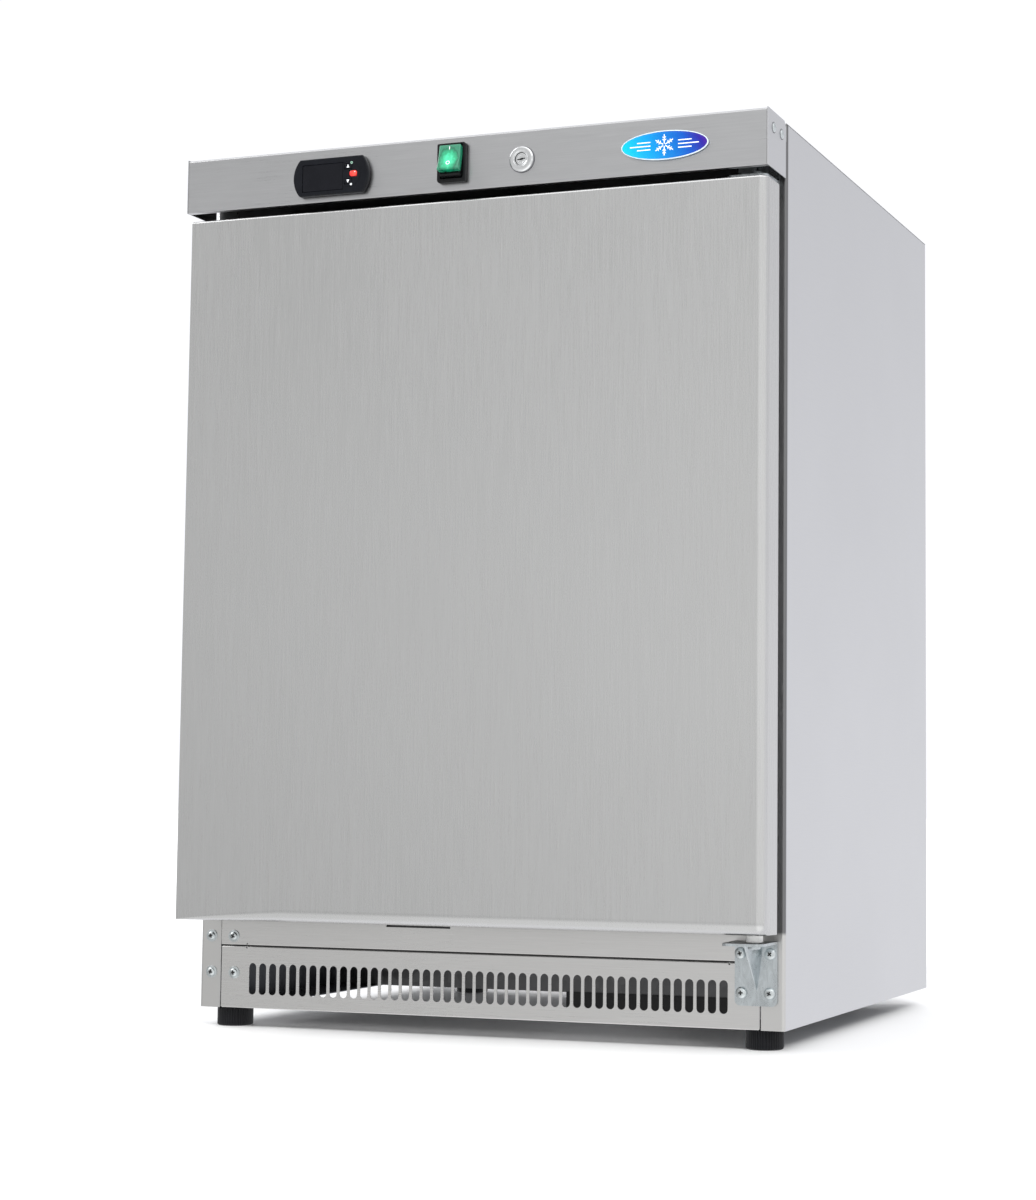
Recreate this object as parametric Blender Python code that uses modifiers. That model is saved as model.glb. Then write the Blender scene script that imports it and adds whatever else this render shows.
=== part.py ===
"""Under-counter refrigerator with a solid hinged door.

Metres, +Z up, front towards -Y, origin on the floor under the centre of the
cabinet's box.  All sections below are drawn from the front datum: y = 0 is the
face of the door and of the control fascia, and the empty "datum" moves the
whole cabinet back so that the origin falls in the middle of its footprint.
"""
import math

import bmesh
import bpy
from mathutils import Matrix, Vector

# ------------------------------------------------------------------ driving sizes
WIDTH = 0.600            # over the side panels
DEPTH = 0.585            # fascia face to rear edge of the side panels
FOOT_H = 0.0185          # floor to cabinet base, feet screwed in
PANEL_TOP = 0.8467
TOP_Z = 0.8479           # worktop surface
FASCIA_Z0, FASCIA_Z1 = 0.7953, 0.8487
FASCIA_RETURN = 0.0545
FRONT = 0.0586           # cabinet front plane behind the door
SHEET = 0.0008
HALF = SHEET / 2
GAP = 0.0004             # running gap between touching pieces

DOOR_X0, DOOR_X1 = -0.2937, 0.2995
DOOR_Z0, DOOR_Z1 = 0.1060, 0.7868
DOOR_BACK = 0.0360
DOOR_R_SIDE = 0.0085
DOOR_R_FOOT = 0.0120
GASKET_X = 0.2830
GASKET_W = 0.0150
GASKET_Z0, GASKET_Z1 = 0.1255, 0.7830

PIN_X, PIN_Y, PIN_R = 0.2810, 0.0280, 0.0040

CAV_X = 0.2520           # half width of the cold space
CAV_Y0, CAV_Y1 = 0.0590, 0.5360
CAV_Z0, CAV_Z1 = 0.1500, 0.7640
STEP_Y, STEP_Z = 0.3000, 0.3120
LINER_T = 0.0020

UNDER_Z0, UNDER_Z1, UNDER_Y = 0.1050, 0.2680, 0.3450

SLOTS, SLOT_PITCH, SLOT_W = 45, 0.0110, 0.0079
SLOT_Z0, SLOT_Z1 = 0.0320, 0.0623

SHELF_Z = (0.3350, 0.4850, 0.6350)
SHELF_Y0, SHELF_Y1 = 0.0750, 0.5050
SHELF_X = 0.2490
SHELF_T = 0.0050
LEDGE = 0.0080

CTRL_X0, CTRL_X1 = -0.1790, -0.0984
CTRL_Z0, CTRL_Z1 = 0.8006, 0.8368
SW_X, SW_Z = -0.01145, 0.82195
ROCKER_Y, ROCKER_Z, ROCKER_R, ROCKER_TILT = -0.0010, 0.8225, 0.0156, math.radians(15)
LOCK_X, LOCK_Z = 0.0590, 0.8197
BADGE_X, BADGE_Z = 0.2015, 0.8207

FOOT_R = 0.0175
FOOT_X, FOOT_YF = 0.2736, 0.0826          # front pair, through the base rails
FOOT_XR, FOOT_YR = 0.2180, 0.5200         # rear pair, set in under the compressor base

FRONT_MOST = ROCKER_Y - ROCKER_R * math.cos(math.radians(56.4) - ROCKER_TILT)
OFFSET_Y = (DEPTH + FRONT_MOST) / 2

# ------------------------------------------------------------------ scene
for ob in list(bpy.data.objects):
    bpy.data.objects.remove(ob, do_unlink=True)
for group in list(bpy.data.collections):
    bpy.data.collections.remove(group)

PARTS = bpy.data.collections.new("under_counter_fridge")
CUTTERS = bpy.data.collections.new("cutters")
bpy.context.scene.collection.children.link(PARTS)
bpy.context.scene.collection.children.link(CUTTERS)

DATUM = bpy.data.objects.new("datum", None)
DATUM.location = (0, -OFFSET_Y, 0)
PARTS.objects.link(DATUM)

MATERIALS = {}


def material(name, color, metallic, roughness):
    mat = bpy.data.materials.new(name)
    mat.use_nodes = True
    shader = mat.node_tree.nodes["Principled BSDF"]
    shader.inputs["Base Color"].default_value = (*color, 1)
    shader.inputs["Metallic"].default_value = metallic
    shader.inputs["Roughness"].default_value = roughness
    mat.diffuse_color = (*color, 1)
    MATERIALS[name] = mat
    return mat


FINISHES = {
    "steel": ((0.60, 0.60, 0.60), 1.0, 0.35),
    "zinc": ((0.66, 0.69, 0.71), 1.0, 0.32),
    "galvanised": ((0.45, 0.46, 0.47), 1.0, 0.50),
    "blackplastic": ((0.02, 0.02, 0.022), 0.0, 0.45),
    "window": ((0.01, 0.008, 0.008), 0.0, 0.08),
    "keygrey": ((0.05, 0.05, 0.05), 0.0, 0.5),
    "keyred": ((0.7, 0.03, 0.02), 0.0, 0.4),
    "green": ((0.02, 0.42, 0.20), 0.0, 0.2),
    "chrome": ((0.8, 0.8, 0.8), 1.0, 0.12),
    "badge": ((0.02, 0.25, 0.70), 0.0, 0.15),
    "white": ((0.88, 0.88, 0.87), 0.0, 0.35),
    "foam": ((0.80, 0.72, 0.48), 0.0, 0.9),
    "nylon": ((0.86, 0.86, 0.84), 0.0, 0.5),
    "seal": ((0.30, 0.30, 0.32), 0.0, 0.6),
    "rubber": ((0.02, 0.02, 0.02), 0.0, 0.7),
    "wirecoat": ((0.82, 0.82, 0.82), 0.0, 0.4),
    "blackpaint": ((0.015, 0.015, 0.016), 0.2, 0.45),
    "copper": ((0.72, 0.38, 0.24), 1.0, 0.35),
    "fin": ((0.70, 0.71, 0.72), 1.0, 0.4),
}


# ------------------------------------------------------------------ builders
def place(name, bm, finish, origin=(0, 0, 0), smooth=None, group=None):
    """Mesh drawn in datum coordinates, stored about its own origin."""
    bmesh.ops.translate(bm, verts=bm.verts, vec=-Vector(origin))
    bmesh.ops.recalc_face_normals(bm, faces=bm.faces)
    mesh = bpy.data.meshes.new(name)
    bm.to_mesh(mesh)
    bm.free()
    ob = bpy.data.objects.new(name, mesh)
    ob.location = origin
    ob.parent = DATUM
    if group is CUTTERS:
        CUTTERS.objects.link(ob)
        ob.hide_render = True
        ob.display_type = 'WIRE'
    else:
        PARTS.objects.link(ob)
        mesh.materials.append(material(name, *FINISHES[finish]))
    if smooth:
        mesh.shade_smooth()
        mesh.set_sharp_from_angle(angle=math.radians(smooth))
    return ob


def box(bm, x0, x1, y0, y1, z0, z1):
    centre = Vector(((x0 + x1) / 2, (y0 + y1) / 2, (z0 + z1) / 2))
    size = Matrix.Diagonal((x1 - x0, y1 - y0, z1 - z0, 1))
    return bmesh.ops.create_cube(bm, size=1, matrix=Matrix.Translation(centre) @ size)["verts"]


def cyl(bm, centre, axis, r0, r1, length, seg=24):
    """Round bar or cone starting at centre and running along axis."""
    turn = Vector((0, 0, 1)).rotation_difference(Vector(axis)).to_matrix().to_4x4()
    at = Matrix.Translation(Vector(centre) + Vector(axis) * length / 2)
    return bmesh.ops.create_cone(bm, cap_ends=True, segments=seg, radius1=r0, radius2=r1,
                                 depth=length, matrix=at @ turn)["verts"]


def slab(name, finish, extents, origin=(0, 0, 0), round_edge=0.0, seg=2):
    bm = bmesh.new()
    box(bm, *extents)
    ob = place(name, bm, finish, origin)
    if round_edge:
        soften(ob, round_edge, seg)
    return ob


def soften(ob, width, seg=2, angle=40):
    mod = ob.modifiers.new("edge", 'BEVEL')
    mod.width = width
    mod.segments = seg
    mod.limit_method = 'ANGLE'
    mod.angle_limit = math.radians(angle)
    return mod


def cutter(name, *extents_list):
    """One or more separate boxes in one cutting body."""
    bm = bmesh.new()
    for e in extents_list:
        box(bm, *e)
    return place(name, bm, None, group=CUTTERS)


def cutter_bars(name, bars, seg=24):
    bm = bmesh.new()
    for centre, axis, r, length in bars:
        cyl(bm, centre, axis, r, r, length, seg)
    return place(name, bm, None, group=CUTTERS)


def cut(ob, tool, operation='DIFFERENCE'):
    mod = ob.modifiers.new("bool_" + tool.name, 'BOOLEAN')
    mod.operation = operation
    mod.object = tool
    mod.solver = 'EXACT'
    return mod


def rounded(points, radii, seg=3):
    """Polyline with its inner corners replaced by arcs."""
    out = []
    for i, p in enumerate(points):
        r = radii.get(i, 0)
        if not r:
            out.append(p)
            continue
        p, a, b = Vector(p), Vector(points[i - 1]), Vector(points[(i + 1) % len(points)])
        u, v = (a - p).normalized(), (b - p).normalized()
        half = math.acos(max(-1, min(1, u.dot(v)))) / 2
        back = r / math.tan(half)
        centre = p + (u + v).normalized() * (r / math.sin(half))
        s, e = p + u * back - centre, p + v * back - centre
        sweep = math.atan2(s.x * e.y - s.y * e.x, s.dot(e))
        for k in range(seg + 1):
            t = sweep * k / seg
            c, n = math.cos(t), math.sin(t)
            out.append((centre.x + s.x * c - s.y * n, centre.y + s.x * n + s.y * c))
    return out


def place3(axis, a, b, h):
    """Point of a section drawn across axis: X -> (y, z), Y -> (x, z), Z -> (x, y)."""
    return {'X': (h, a, b), 'Y': (a, h, b), 'Z': (a, b, h)}[axis]


def fold(name, finish, section, axis, lo, hi, thick=SHEET, origin=(0, 0, 0), smooth=30):
    """Folded sheet: a mid-line section pushed along an axis, then given thickness."""
    bm = bmesh.new()
    first = [bm.verts.new(place3(axis, a, b, lo)) for a, b in section]
    edges = [bm.edges.new(pair) for pair in zip(first, first[1:])]
    made = bmesh.ops.extrude_edge_only(bm, edges=edges)["geom"]
    push = Vector(place3(axis, 0, 0, hi - lo))
    bmesh.ops.translate(bm, verts=[g for g in made if isinstance(g, bmesh.types.BMVert)], vec=push)
    ob = place(name, bm, finish, origin, smooth)
    mod = ob.modifiers.new("thickness", 'SOLIDIFY')
    mod.thickness = thick
    mod.offset = 0
    mod.use_even_offset = True
    return ob


def prism(bm, section, axis, lo, hi):
    """Closed outline pushed along an axis."""
    face = bm.faces.new([bm.verts.new(place3(axis, a, b, lo)) for a, b in section])
    made = bmesh.ops.extrude_face_region(bm, geom=[face])["geom"]
    push = Vector(place3(axis, 0, 0, hi - lo))
    bmesh.ops.translate(bm, verts=[g for g in made if isinstance(g, bmesh.types.BMVert)], vec=push)


def block(name, finish, section, axis, lo, hi, origin=(0, 0, 0), smooth=None, group=None):
    bm = bmesh.new()
    prism(bm, section, axis, lo, hi)
    return place(name, bm, finish, origin, smooth, group)


def rect(a0, a1, b0, b1):
    return [(a0, b0), (a1, b0), (a1, b1), (a0, b1)]


def turned(name, finish, profile, origin, seg=32, axis=(0, 0, 1), smooth=35):
    """Closed turned solid from a (radius, height) profile, run down its outer side."""
    area = sum(a[0] * b[1] - b[0] * a[1] for a, b in zip(profile, profile[1:] + profile[:1]))
    if area > 0:
        profile = profile[::-1]
    bm = bmesh.new()
    pts = [bm.verts.new((r, 0, h)) for r, h in profile]
    for pair in zip(pts, pts[1:]):
        bm.edges.new(pair)
    mesh = bpy.data.meshes.new(name)
    bm.to_mesh(mesh)
    bm.free()
    mesh.materials.append(material(name, *FINISHES[finish]))
    ob = bpy.data.objects.new(name, mesh)
    ob.location = origin
    ob.rotation_euler = Vector((0, 0, 1)).rotation_difference(Vector(axis)).to_euler()
    ob.parent = DATUM
    PARTS.objects.link(ob)
    mod = ob.modifiers.new("turn", 'SCREW')
    mod.steps = mod.render_steps = seg
    mod.use_merge_vertices = True
    mod.merge_threshold = 0.00002
    mod.use_smooth_shade = True
    return ob


def smooth_route(points, per=5):
    """Even samples of a Catmull-Rom line through the given points."""
    pts = [Vector(p) for p in points]
    pts = [pts[0] * 2 - pts[1]] + pts + [pts[-1] * 2 - pts[-2]]
    out = []
    for a, b, c, d in zip(pts, pts[1:], pts[2:], pts[3:]):
        for k in range(per):
            t = k / per
            out.append(0.5 * ((2 * b) + (c - a) * t + (2 * a - 5 * b + 4 * c - d) * t * t
                              + (3 * b - a - 3 * c + d) * t ** 3))
    out.append(pts[-2])
    return out


def tube(name, finish, points, r, per=4, res=1):
    line = bpy.data.curves.new(name, 'CURVE')
    line.dimensions = '3D'
    line.bevel_depth = r
    line.bevel_resolution = res
    line.render_resolution_u = 0
    line.use_fill_caps = True
    spline = line.splines.new('POLY')
    route = smooth_route(points, per)
    spline.points.add(len(route) - 1)
    for p, q in zip(spline.points, route):
        p.co = (*q, 1)
    line.materials.append(material(name, *FINISHES[finish]))
    ob = bpy.data.objects.new(name, line)
    ob.parent = DATUM
    PARTS.objects.link(ob)
    return ob


def obround(cx, z0, z1, w, seg=6):
    r = w / 2
    top = [(cx + r * math.cos(math.pi * k / seg), z1 - r + r * math.sin(math.pi * k / seg))
           for k in range(seg + 1)]
    low = [(cx - r * math.cos(math.pi * k / seg), z0 + r - r * math.sin(math.pi * k / seg))
           for k in range(seg + 1)]
    return top + low


def circle(cx, cz, r, seg=24, phase=0.0):
    return [(cx + r * math.cos(2 * math.pi * (k + phase) / seg),
             cz + r * math.sin(2 * math.pi * (k + phase) / seg)) for k in range(seg)]


# ------------------------------------------------------------------ cabinet shell
mid_x = WIDTH / 2 - HALF
for side, sx in (("left", -1), ("right", 1)):
    section = rounded([(sx * 0.2775, FRONT + HALF), (sx * mid_x, FRONT + HALF),
                       (sx * mid_x, DEPTH - HALF), (sx * 0.2840, DEPTH - HALF)], {1: 0.0026, 2: 0.0020})
    fold("side_panel_" + side, "steel", section, 'Z', FOOT_H, PANEL_TOP)

fold("top_panel", "steel",
     [(0.0556, 0.8300), (0.0556, TOP_Z - HALF), (DEPTH - 0.0004, TOP_Z - HALF)],
     'X', -WIDTH / 2 + 0.0001, WIDTH / 2 - 0.0001)

back = slab("back_panel", "galvanised", (-0.2960, 0.2960, 0.5832, 0.5839, 0.2640, 0.8455))

# fascia: box open below and behind, side returns clipped at the top rear corner
bm = bmesh.new()
box(bm, -mid_x, mid_x, HALF, FASCIA_RETURN, FASCIA_Z0, FASCIA_Z1 - HALF)
gone = [f for f in bm.faces if f.calc_center_median().z < FASCIA_Z0 + 1e-5
        or f.calc_center_median().y > FASCIA_RETURN - 1e-5]
bmesh.ops.delete(bm, geom=gone, context='FACES_ONLY')
fascia = place("control_fascia", bm, "steel")
mod = fascia.modifiers.new("thickness", 'SOLIDIFY')
mod.thickness, mod.offset, mod.use_even_offset = SHEET, 0, True
cut(fascia, cutter("fascia_windows",
                   (-0.1735, -0.1045, -0.01, 0.01, 0.8050, 0.8325),
                   (SW_X - 0.0138, SW_X + 0.0138, -0.01, 0.01, 0.8052, 0.8398)))
bm = bmesh.new()
for lo, hi in ((-0.3010, -0.2991), (0.2991, 0.3010)):
    prism(bm, [(FASCIA_RETURN - 0.0045, FASCIA_Z1 + 0.0005), (FASCIA_RETURN + 0.0010, FASCIA_Z1 - 0.0060),
               (FASCIA_RETURN + 0.0010, FASCIA_Z1 + 0.0005)], 'X', lo, hi)
cut(fascia, place("fascia_corner_clips", bm, None, group=CUTTERS))
cut(fascia, cutter_bars("fascia_lock_hole", [((LOCK_X, -0.01, LOCK_Z), (0, 1, 0), 0.0100, 0.02)]))

slab("upper_front_rail", "blackpaint", (-0.2770, 0.2770, 0.0586, 0.0594, 0.7876, 0.8455))

rail = fold("lower_front_rail", "steel",
            [(0.0700, 0.0794), (FRONT + HALF, 0.0794), (FRONT + HALF, 0.1216)],
            'X', -0.2770, 0.2770)
cut(rail, cutter("rail_slot", (-0.0980, -0.0310, 0.05, 0.0625, 0.1010, 0.1032)))

grille = fold("vent_grille", "steel",
              [(0.0706, 0.0191), (FRONT + HALF, 0.0191), (FRONT + HALF, 0.0783), (0.0690, 0.0783)],
              'X', -0.2764, 0.2764)
bm = bmesh.new()
for i in range(SLOTS):
    prism(bm, obround((i - (SLOTS - 1) / 2) * SLOT_PITCH, SLOT_Z0, SLOT_Z1, SLOT_W, 5), 'Y', 0.055, 0.063)
cut(grille, place("grille_slots", bm, None, group=CUTTERS))

# ------------------------------------------------------------------ base
for side, sx in (("left", -1), ("right", 1)):
    bm = bmesh.new()
    outline = [(sx * 0.2500, 0.0190), (sx * 0.2984, 0.0190), (sx * 0.2984, 0.0600),
               (sx * 0.2972, 0.0600), (sx * 0.2972, 0.0202), (sx * 0.2500, 0.0202)]
    prism(bm, outline, 'Y', 0.0720, 0.5820)
    base = place("base_rail_" + side, bm, "galvanised")
    cut(base, cutter_bars("stud_hole_" + side, [((sx * FOOT_X, FOOT_YF, 0.01), (0, 0, 1), 0.0046, 0.02)], 16))

base = slab("compressor_base", "galvanised", (-0.2955, 0.2955, 0.3400, 0.5450, 0.0206, 0.0222))
cut(base, cutter("inlet_bracket_foot", (0.2120, 0.2620, 0.5400, 0.5704, 0.0206, 0.0222)), 'UNION')
cut(base, cutter("base_lip", (-0.2955, 0.2955, 0.3400, 0.3416, 0.0206, 0.0420)), 'UNION')
cut(base, cutter("inlet_bracket", (0.2120, 0.2620, 0.5690, 0.5706, 0.0206, 0.1140)), 'UNION')
cut(base, cutter_bars("inlet_hole", [((0.2370, 0.56, 0.0900), (0, 1, 0), 0.0084, 0.02)], 20))
cut(base, cutter_bars("rear_stud_holes", [((x, FOOT_YR, 0.01), (0, 0, 1), 0.0046, 0.02)
                                          for x in (-FOOT_XR, FOOT_XR)], 16))

fold("underside_panel", "galvanised",
     [(0.0640, 0.0960), (0.0640, UNDER_Z0), (UNDER_Y, UNDER_Z0), (UNDER_Y, UNDER_Z1), (0.5826, UNDER_Z1)],
     'X', -0.2980, 0.2980, SHEET)

# ------------------------------------------------------------------ insulated body
# the riser steps in front of the panel's riser, so the body keeps clear of it
outer = [(0.0620, UNDER_Z0 + 0.0009), (UNDER_Y - 0.0009, UNDER_Z0 + 0.0009),
         (UNDER_Y - 0.0009, UNDER_Z1 + 0.0009), (0.5826, UNDER_Z1 + 0.0009),
         (0.5826, 0.8460), (0.0620, 0.8460)]
foam = block("cabinet_foam", "foam", outer, 'X', -0.2980, 0.2980)


def cavity(grow_x, y0, y1, grow):
    """Side outline of the stepped cold space, grown evenly."""
    return [(y0, CAV_Z0 - grow), (STEP_Y + grow, CAV_Z0 - grow),
            (STEP_Y + grow, STEP_Z - grow), (y1 + grow, STEP_Z - grow),
            (y1 + grow, CAV_Z1 + grow), (y0, CAV_Z1 + grow)]


pocket = block("foam_pocket", None, cavity(0, 0.05, CAV_Y1 + 0.0030, LINER_T + GAP), 'X',
               -CAV_X - LINER_T - GAP, CAV_X + LINER_T + GAP, group=CUTTERS)
cut(foam, pocket)

liner = block("inner_liner", "white", cavity(0, FRONT + 0.0006, CAV_Y1, LINER_T), 'X',
              -CAV_X - LINER_T, CAV_X + LINER_T)
flange = block("liner_flange", None, rect(-0.2770, 0.2770, 0.1225, 0.7868), 'Y', 0.0592, 0.0612, group=CUTTERS)
cut(liner, flange, 'UNION')
cut(liner, block("liner_inside", None, cavity(0, 0.05, CAV_Y1, 0), 'X', -CAV_X, CAV_X, group=CUTTERS))
ledges = []
for z in SHELF_Z:
    for sx in (-1, 1):
        x = sorted((sx * (CAV_X + 0.001), sx * (CAV_X - LEDGE)))
        ledges.append((x[0], x[1], 0.0720, 0.5200, z - 0.0090, z - 0.0005))
cut(liner, cutter("shelf_ledges", *ledges), 'UNION')

slab("evaporator_plate", "fin", (-0.2200, 0.2200, CAV_Y1 + LINER_T + 0.0004, CAV_Y1 + LINER_T + 0.0022, 0.3600, 0.7400))

# ------------------------------------------------------------------ controls
tray = slab("electrical_box", "blackplastic", (-0.2050, 0.0320, 0.0100, 0.0545, 0.7985, 0.8455))
cut(tray, cutter("electrical_box_inside", (-0.2035, 0.0305, 0.0050, 0.0530, 0.8000, 0.8440)))

cz = (CTRL_Z0 + CTRL_Z1) / 2
cx0, cx1 = -0.1722, -0.1048
bulge = []
for a, b, sgn in ((cx1, CTRL_X1, 1), (cx0, CTRL_X0, -1)):
    h, d = (CTRL_Z1 - CTRL_Z0) / 2, abs(b - a)
    r = (h * h + d * d) / (2 * d)
    sweep = math.asin(h / r)
    for k in range(9):
        t = -sweep + 2 * sweep * k / 8
        bulge.append((a + sgn * (d - r + r * math.cos(t)), cz + sgn * r * math.sin(t)))
ctrl = block("controller_housing", "blackplastic", bulge, 'Y', -0.0066, -0.0003, smooth=30)
soften(ctrl, 0.0012, 2, 30)
cut(ctrl, cutter("controller_body", (-0.1730, -0.1050, -0.0030, 0.0480, 0.8055, 0.8320)), 'UNION')
cut(ctrl, cutter("controller_recess", (-0.1690, -0.1252, -0.0090, -0.0050, 0.8044, 0.8310),
                 (-0.1239, -0.1155, -0.0090, -0.0032, 0.8238, 0.8294),
                 (-0.1186, -0.1102, -0.0090, -0.0032, 0.8163, 0.8225),
                 (-0.1238, -0.1154, -0.0090, -0.0032, 0.8091, 0.8147)))
slab("controller_window", "window", (-0.1686, -0.1256, -0.0064, -0.0054, 0.8048, 0.8306))
slab("key_up", "keygrey", (-0.1235, -0.1159, -0.0070, -0.0042, 0.8242, 0.8290), (-0.1197, -0.0042, 0.8266), 0.0006)
slab("key_set", "keyred", (-0.1182, -0.1106, -0.0070, -0.0042, 0.8167, 0.8221), (-0.1144, -0.0042, 0.8194), 0.0006)
slab("key_down", "keygrey", (-0.1234, -0.1158, -0.0070, -0.0042, 0.8095, 0.8143), (-0.1196, -0.0042, 0.8119), 0.0006)

bezel = rounded([(SW_X - 0.0150, 0.8026), (SW_X + 0.0143, 0.8026), (SW_X + 0.0143, 0.8405),
                 (SW_X - 0.0150, 0.8405)], {0: 0.0030, 1: 0.0015, 2: 0.0025, 3: 0.0015}, 2)
switch = block("switch_housing", "blackplastic", bezel, 'Y', -0.0055, -0.0003)
cut(switch, cutter("switch_body", (SW_X - 0.0134, SW_X + 0.0134, -0.0020, 0.0300, 0.8056, 0.8394)), 'UNION')
cut(switch, cutter("switch_well", (SW_X - 0.0113, SW_X + 0.0113, -0.0100, 0.0090, 0.8065, 0.8386)))
face = math.radians(56.4)
arc = []
for k in range(6):
    t = face + (math.radians(100) - face) * k / 5
    arc.append((-ROCKER_R * math.cos(t), ROCKER_R * math.sin(t)))
sect = arc + [(a, -b) for a, b in reversed(arc)] + [(-ROCKER_R * math.cos(face) + 0.0009, 0.0)]
turn = Matrix.Rotation(-ROCKER_TILT, 2)
sect = [tuple(turn @ Vector(p)) for p in sect]
sect = [(ROCKER_Y + a, ROCKER_Z + b) for a, b in sect]
rocker = block("switch_rocker", "green", sect, 'X', SW_X - 0.0108, SW_X + 0.0108, (SW_X, ROCKER_Y, ROCKER_Z), 30)

turned("lock_barrel", "chrome",
       [(0.0062, 0.0175), (0.0094, 0.0175), (0.0094, -0.0003), (0.0109, -0.0003), (0.0109, -0.0022),
        (0.0097, -0.0034), (0.0062, -0.0034), (0.0062, 0.0175)],
       (LOCK_X, 0, LOCK_Z), 28, (0, 1, 0))
plug = turned("lock_plug", "chrome",
              [(0, 0.0182), (0.0058, 0.0182), (0.0058, -0.0026), (0, -0.0026)],
              (LOCK_X, 0, LOCK_Z), 24, (0, 1, 0))
cut(plug, cutter("key_way", (LOCK_X - 0.0040, LOCK_X + 0.0040, -0.01, 0.0080, LOCK_Z - 0.0006, LOCK_Z + 0.0006)))
cam = block("lock_cam", "zinc",
            rounded([(LOCK_X - 0.0085, LOCK_Z - 0.0075), (LOCK_X + 0.0440, LOCK_Z - 0.0075),
                     (LOCK_X + 0.0440, LOCK_Z + 0.0075), (LOCK_X - 0.0085, LOCK_Z + 0.0075)],
                    {0: 0.006, 1: 0.003, 2: 0.003, 3: 0.006}, 3),
            'Y', 0.0186, 0.0206, (LOCK_X, 0.0186, LOCK_Z))

bm = bmesh.new()
cyl(bm, (0, 0, 0), (0, 1, 0), 1, 1, 1, 40)
bmesh.ops.scale(bm, vec=(0.0424, 0.0018, 0.01360), verts=bm.verts)
bmesh.ops.translate(bm, vec=(BADGE_X, -0.0021, BADGE_Z), verts=bm.verts)
badge = place("badge_plate", bm, "badge", smooth=40)
soften(badge, 0.0006, 2, 50)

# ------------------------------------------------------------------ door
def door_form(inset, back, left=None):
    """Box with a rounded hinge-side edge and a rounded foot, drawn inset from the outside."""
    bm = bmesh.new()
    box(bm, DOOR_X0 + (inset if left is None else left), DOOR_X1 - inset, inset, back, DOOR_Z0 + inset, DOOR_Z1 - inset)
    foot = [e for e in bm.edges if all(abs(v.co.y - inset) < 1e-6 and v.co.z < DOOR_Z0 + inset + 1e-6 for v in e.verts)]
    bmesh.ops.bevel(bm, geom=foot, offset=DOOR_R_FOOT - inset, segments=5, profile=0.5, affect='EDGES')
    side = [e for e in bm.edges if all(abs(v.co.x - DOOR_X1 + inset) < 1e-6 for v in e.verts)
            and not all(abs(v.co.y - back) < 1e-6 for v in e.verts)
            and not all(abs(v.co.z - DOOR_Z1 + inset) < 1e-6 for v in e.verts)
            and not all(abs(v.co.z - DOOR_Z0 - inset) < 1e-6 for v in e.verts)]
    bmesh.ops.bevel(bm, geom=side, offset=DOOR_R_SIDE - inset, segments=4, profile=0.5, affect='EDGES')
    return bm


bm = door_form(HALF, DOOR_BACK, 0.0)
left = [f for f in bm.faces if f.calc_center_median().x < DOOR_X0 + 1e-5]
rear = [f for f in bm.faces if f.calc_center_median().y > DOOR_BACK - 1e-5]
bmesh.ops.delete(bm, geom=left + rear, context='FACES_ONLY')
skin = place("door_outer_skin", bm, "steel", (PIN_X, PIN_Y, 0), 30)
mod = skin.modifiers.new("thickness", 'SOLIDIFY')
mod.thickness, mod.offset, mod.use_even_offset = SHEET, 0, True
cut(skin, cutter_bars("bush_holes", [((PIN_X, PIN_Y, 0.09), (0, 0, 1), 0.0056, 0.03),
                                     ((PIN_X, PIN_Y, 0.77), (0, 0, 1), 0.0056, 0.03)]))
cut(skin, cutter("lock_slot", (LOCK_X - 0.0095, LOCK_X + 0.0330, 0.0150, 0.0250, 0.77, 0.80)))

grip_x0, grip_x1 = DOOR_X0 + 0.0006, -0.2680
g0, g1 = 0.0012, 0.0355
t = 0.0016
outline = [(grip_x0, g0), (grip_x1, g0), (grip_x1, g1), (grip_x0, g1), (grip_x0, g1 - 0.0045),
           (grip_x1 - t - 0.002, g1 - 0.0045), (grip_x1 - t, g1 - 0.0065), (grip_x1 - t, g0 + t + 0.002),
           (grip_x1 - t - 0.002, g0 + t), (grip_x0, g0 + t)]
grip = block("door_grip", "blackplastic", outline, 'Z', DOOR_Z0 + 0.0013, DOOR_Z1 - 0.0013, (PIN_X, PIN_Y, 0))
cut(grip, place("grip_envelope", door_form(SHEET + GAP, 0.0500, -0.0050), None, group=CUTTERS), 'INTERSECT')

bm = door_form(SHEET + GAP, 0.0340)
doorfoam = place("door_foam", bm, "foam", (PIN_X, PIN_Y, 0))
cut(doorfoam, cutter("foam_left_clear", (-0.31, grip_x1 + GAP, -0.01, 0.05, 0.09, 0.80)))
cut(doorfoam, cutter_bars("foam_bush_holes", [((PIN_X, PIN_Y, 0.09), (0, 0, 1), 0.0056, 0.0420),
                                              ((PIN_X, PIN_Y, 0.7600), (0, 0, 1), 0.0056, 0.0400)], 16))
cut(doorfoam, cutter("foam_lock_clear", (LOCK_X - 0.0095, LOCK_X + 0.0330, 0.0150, 0.0250, 0.7700, 0.80)))

panel = slab("door_inner_panel", "white", (grip_x1 + 0.0008, DOOR_X1 - 0.0013, 0.0344, 0.0362, DOOR_Z0 + 0.0013, DOOR_Z1 - 0.0013),
             (PIN_X, PIN_Y, 0))
bm = bmesh.new()
box(bm, -0.2400, 0.2400, 0.0355, 0.0500, 0.1620, 0.7520)
for v in bm.verts:
    if v.co.y > 0.045:
        v.co.x *= 0.965
        v.co.z += 0.009 if v.co.z < 0.4 else -0.009
dike = place("door_dike", bm, None, group=CUTTERS)
cut(panel, dike, 'UNION')
cut(panel, cutter("door_dike_inside", (-0.2150, 0.2150, 0.0440, 0.0600, 0.1870, 0.7270)))

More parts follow.
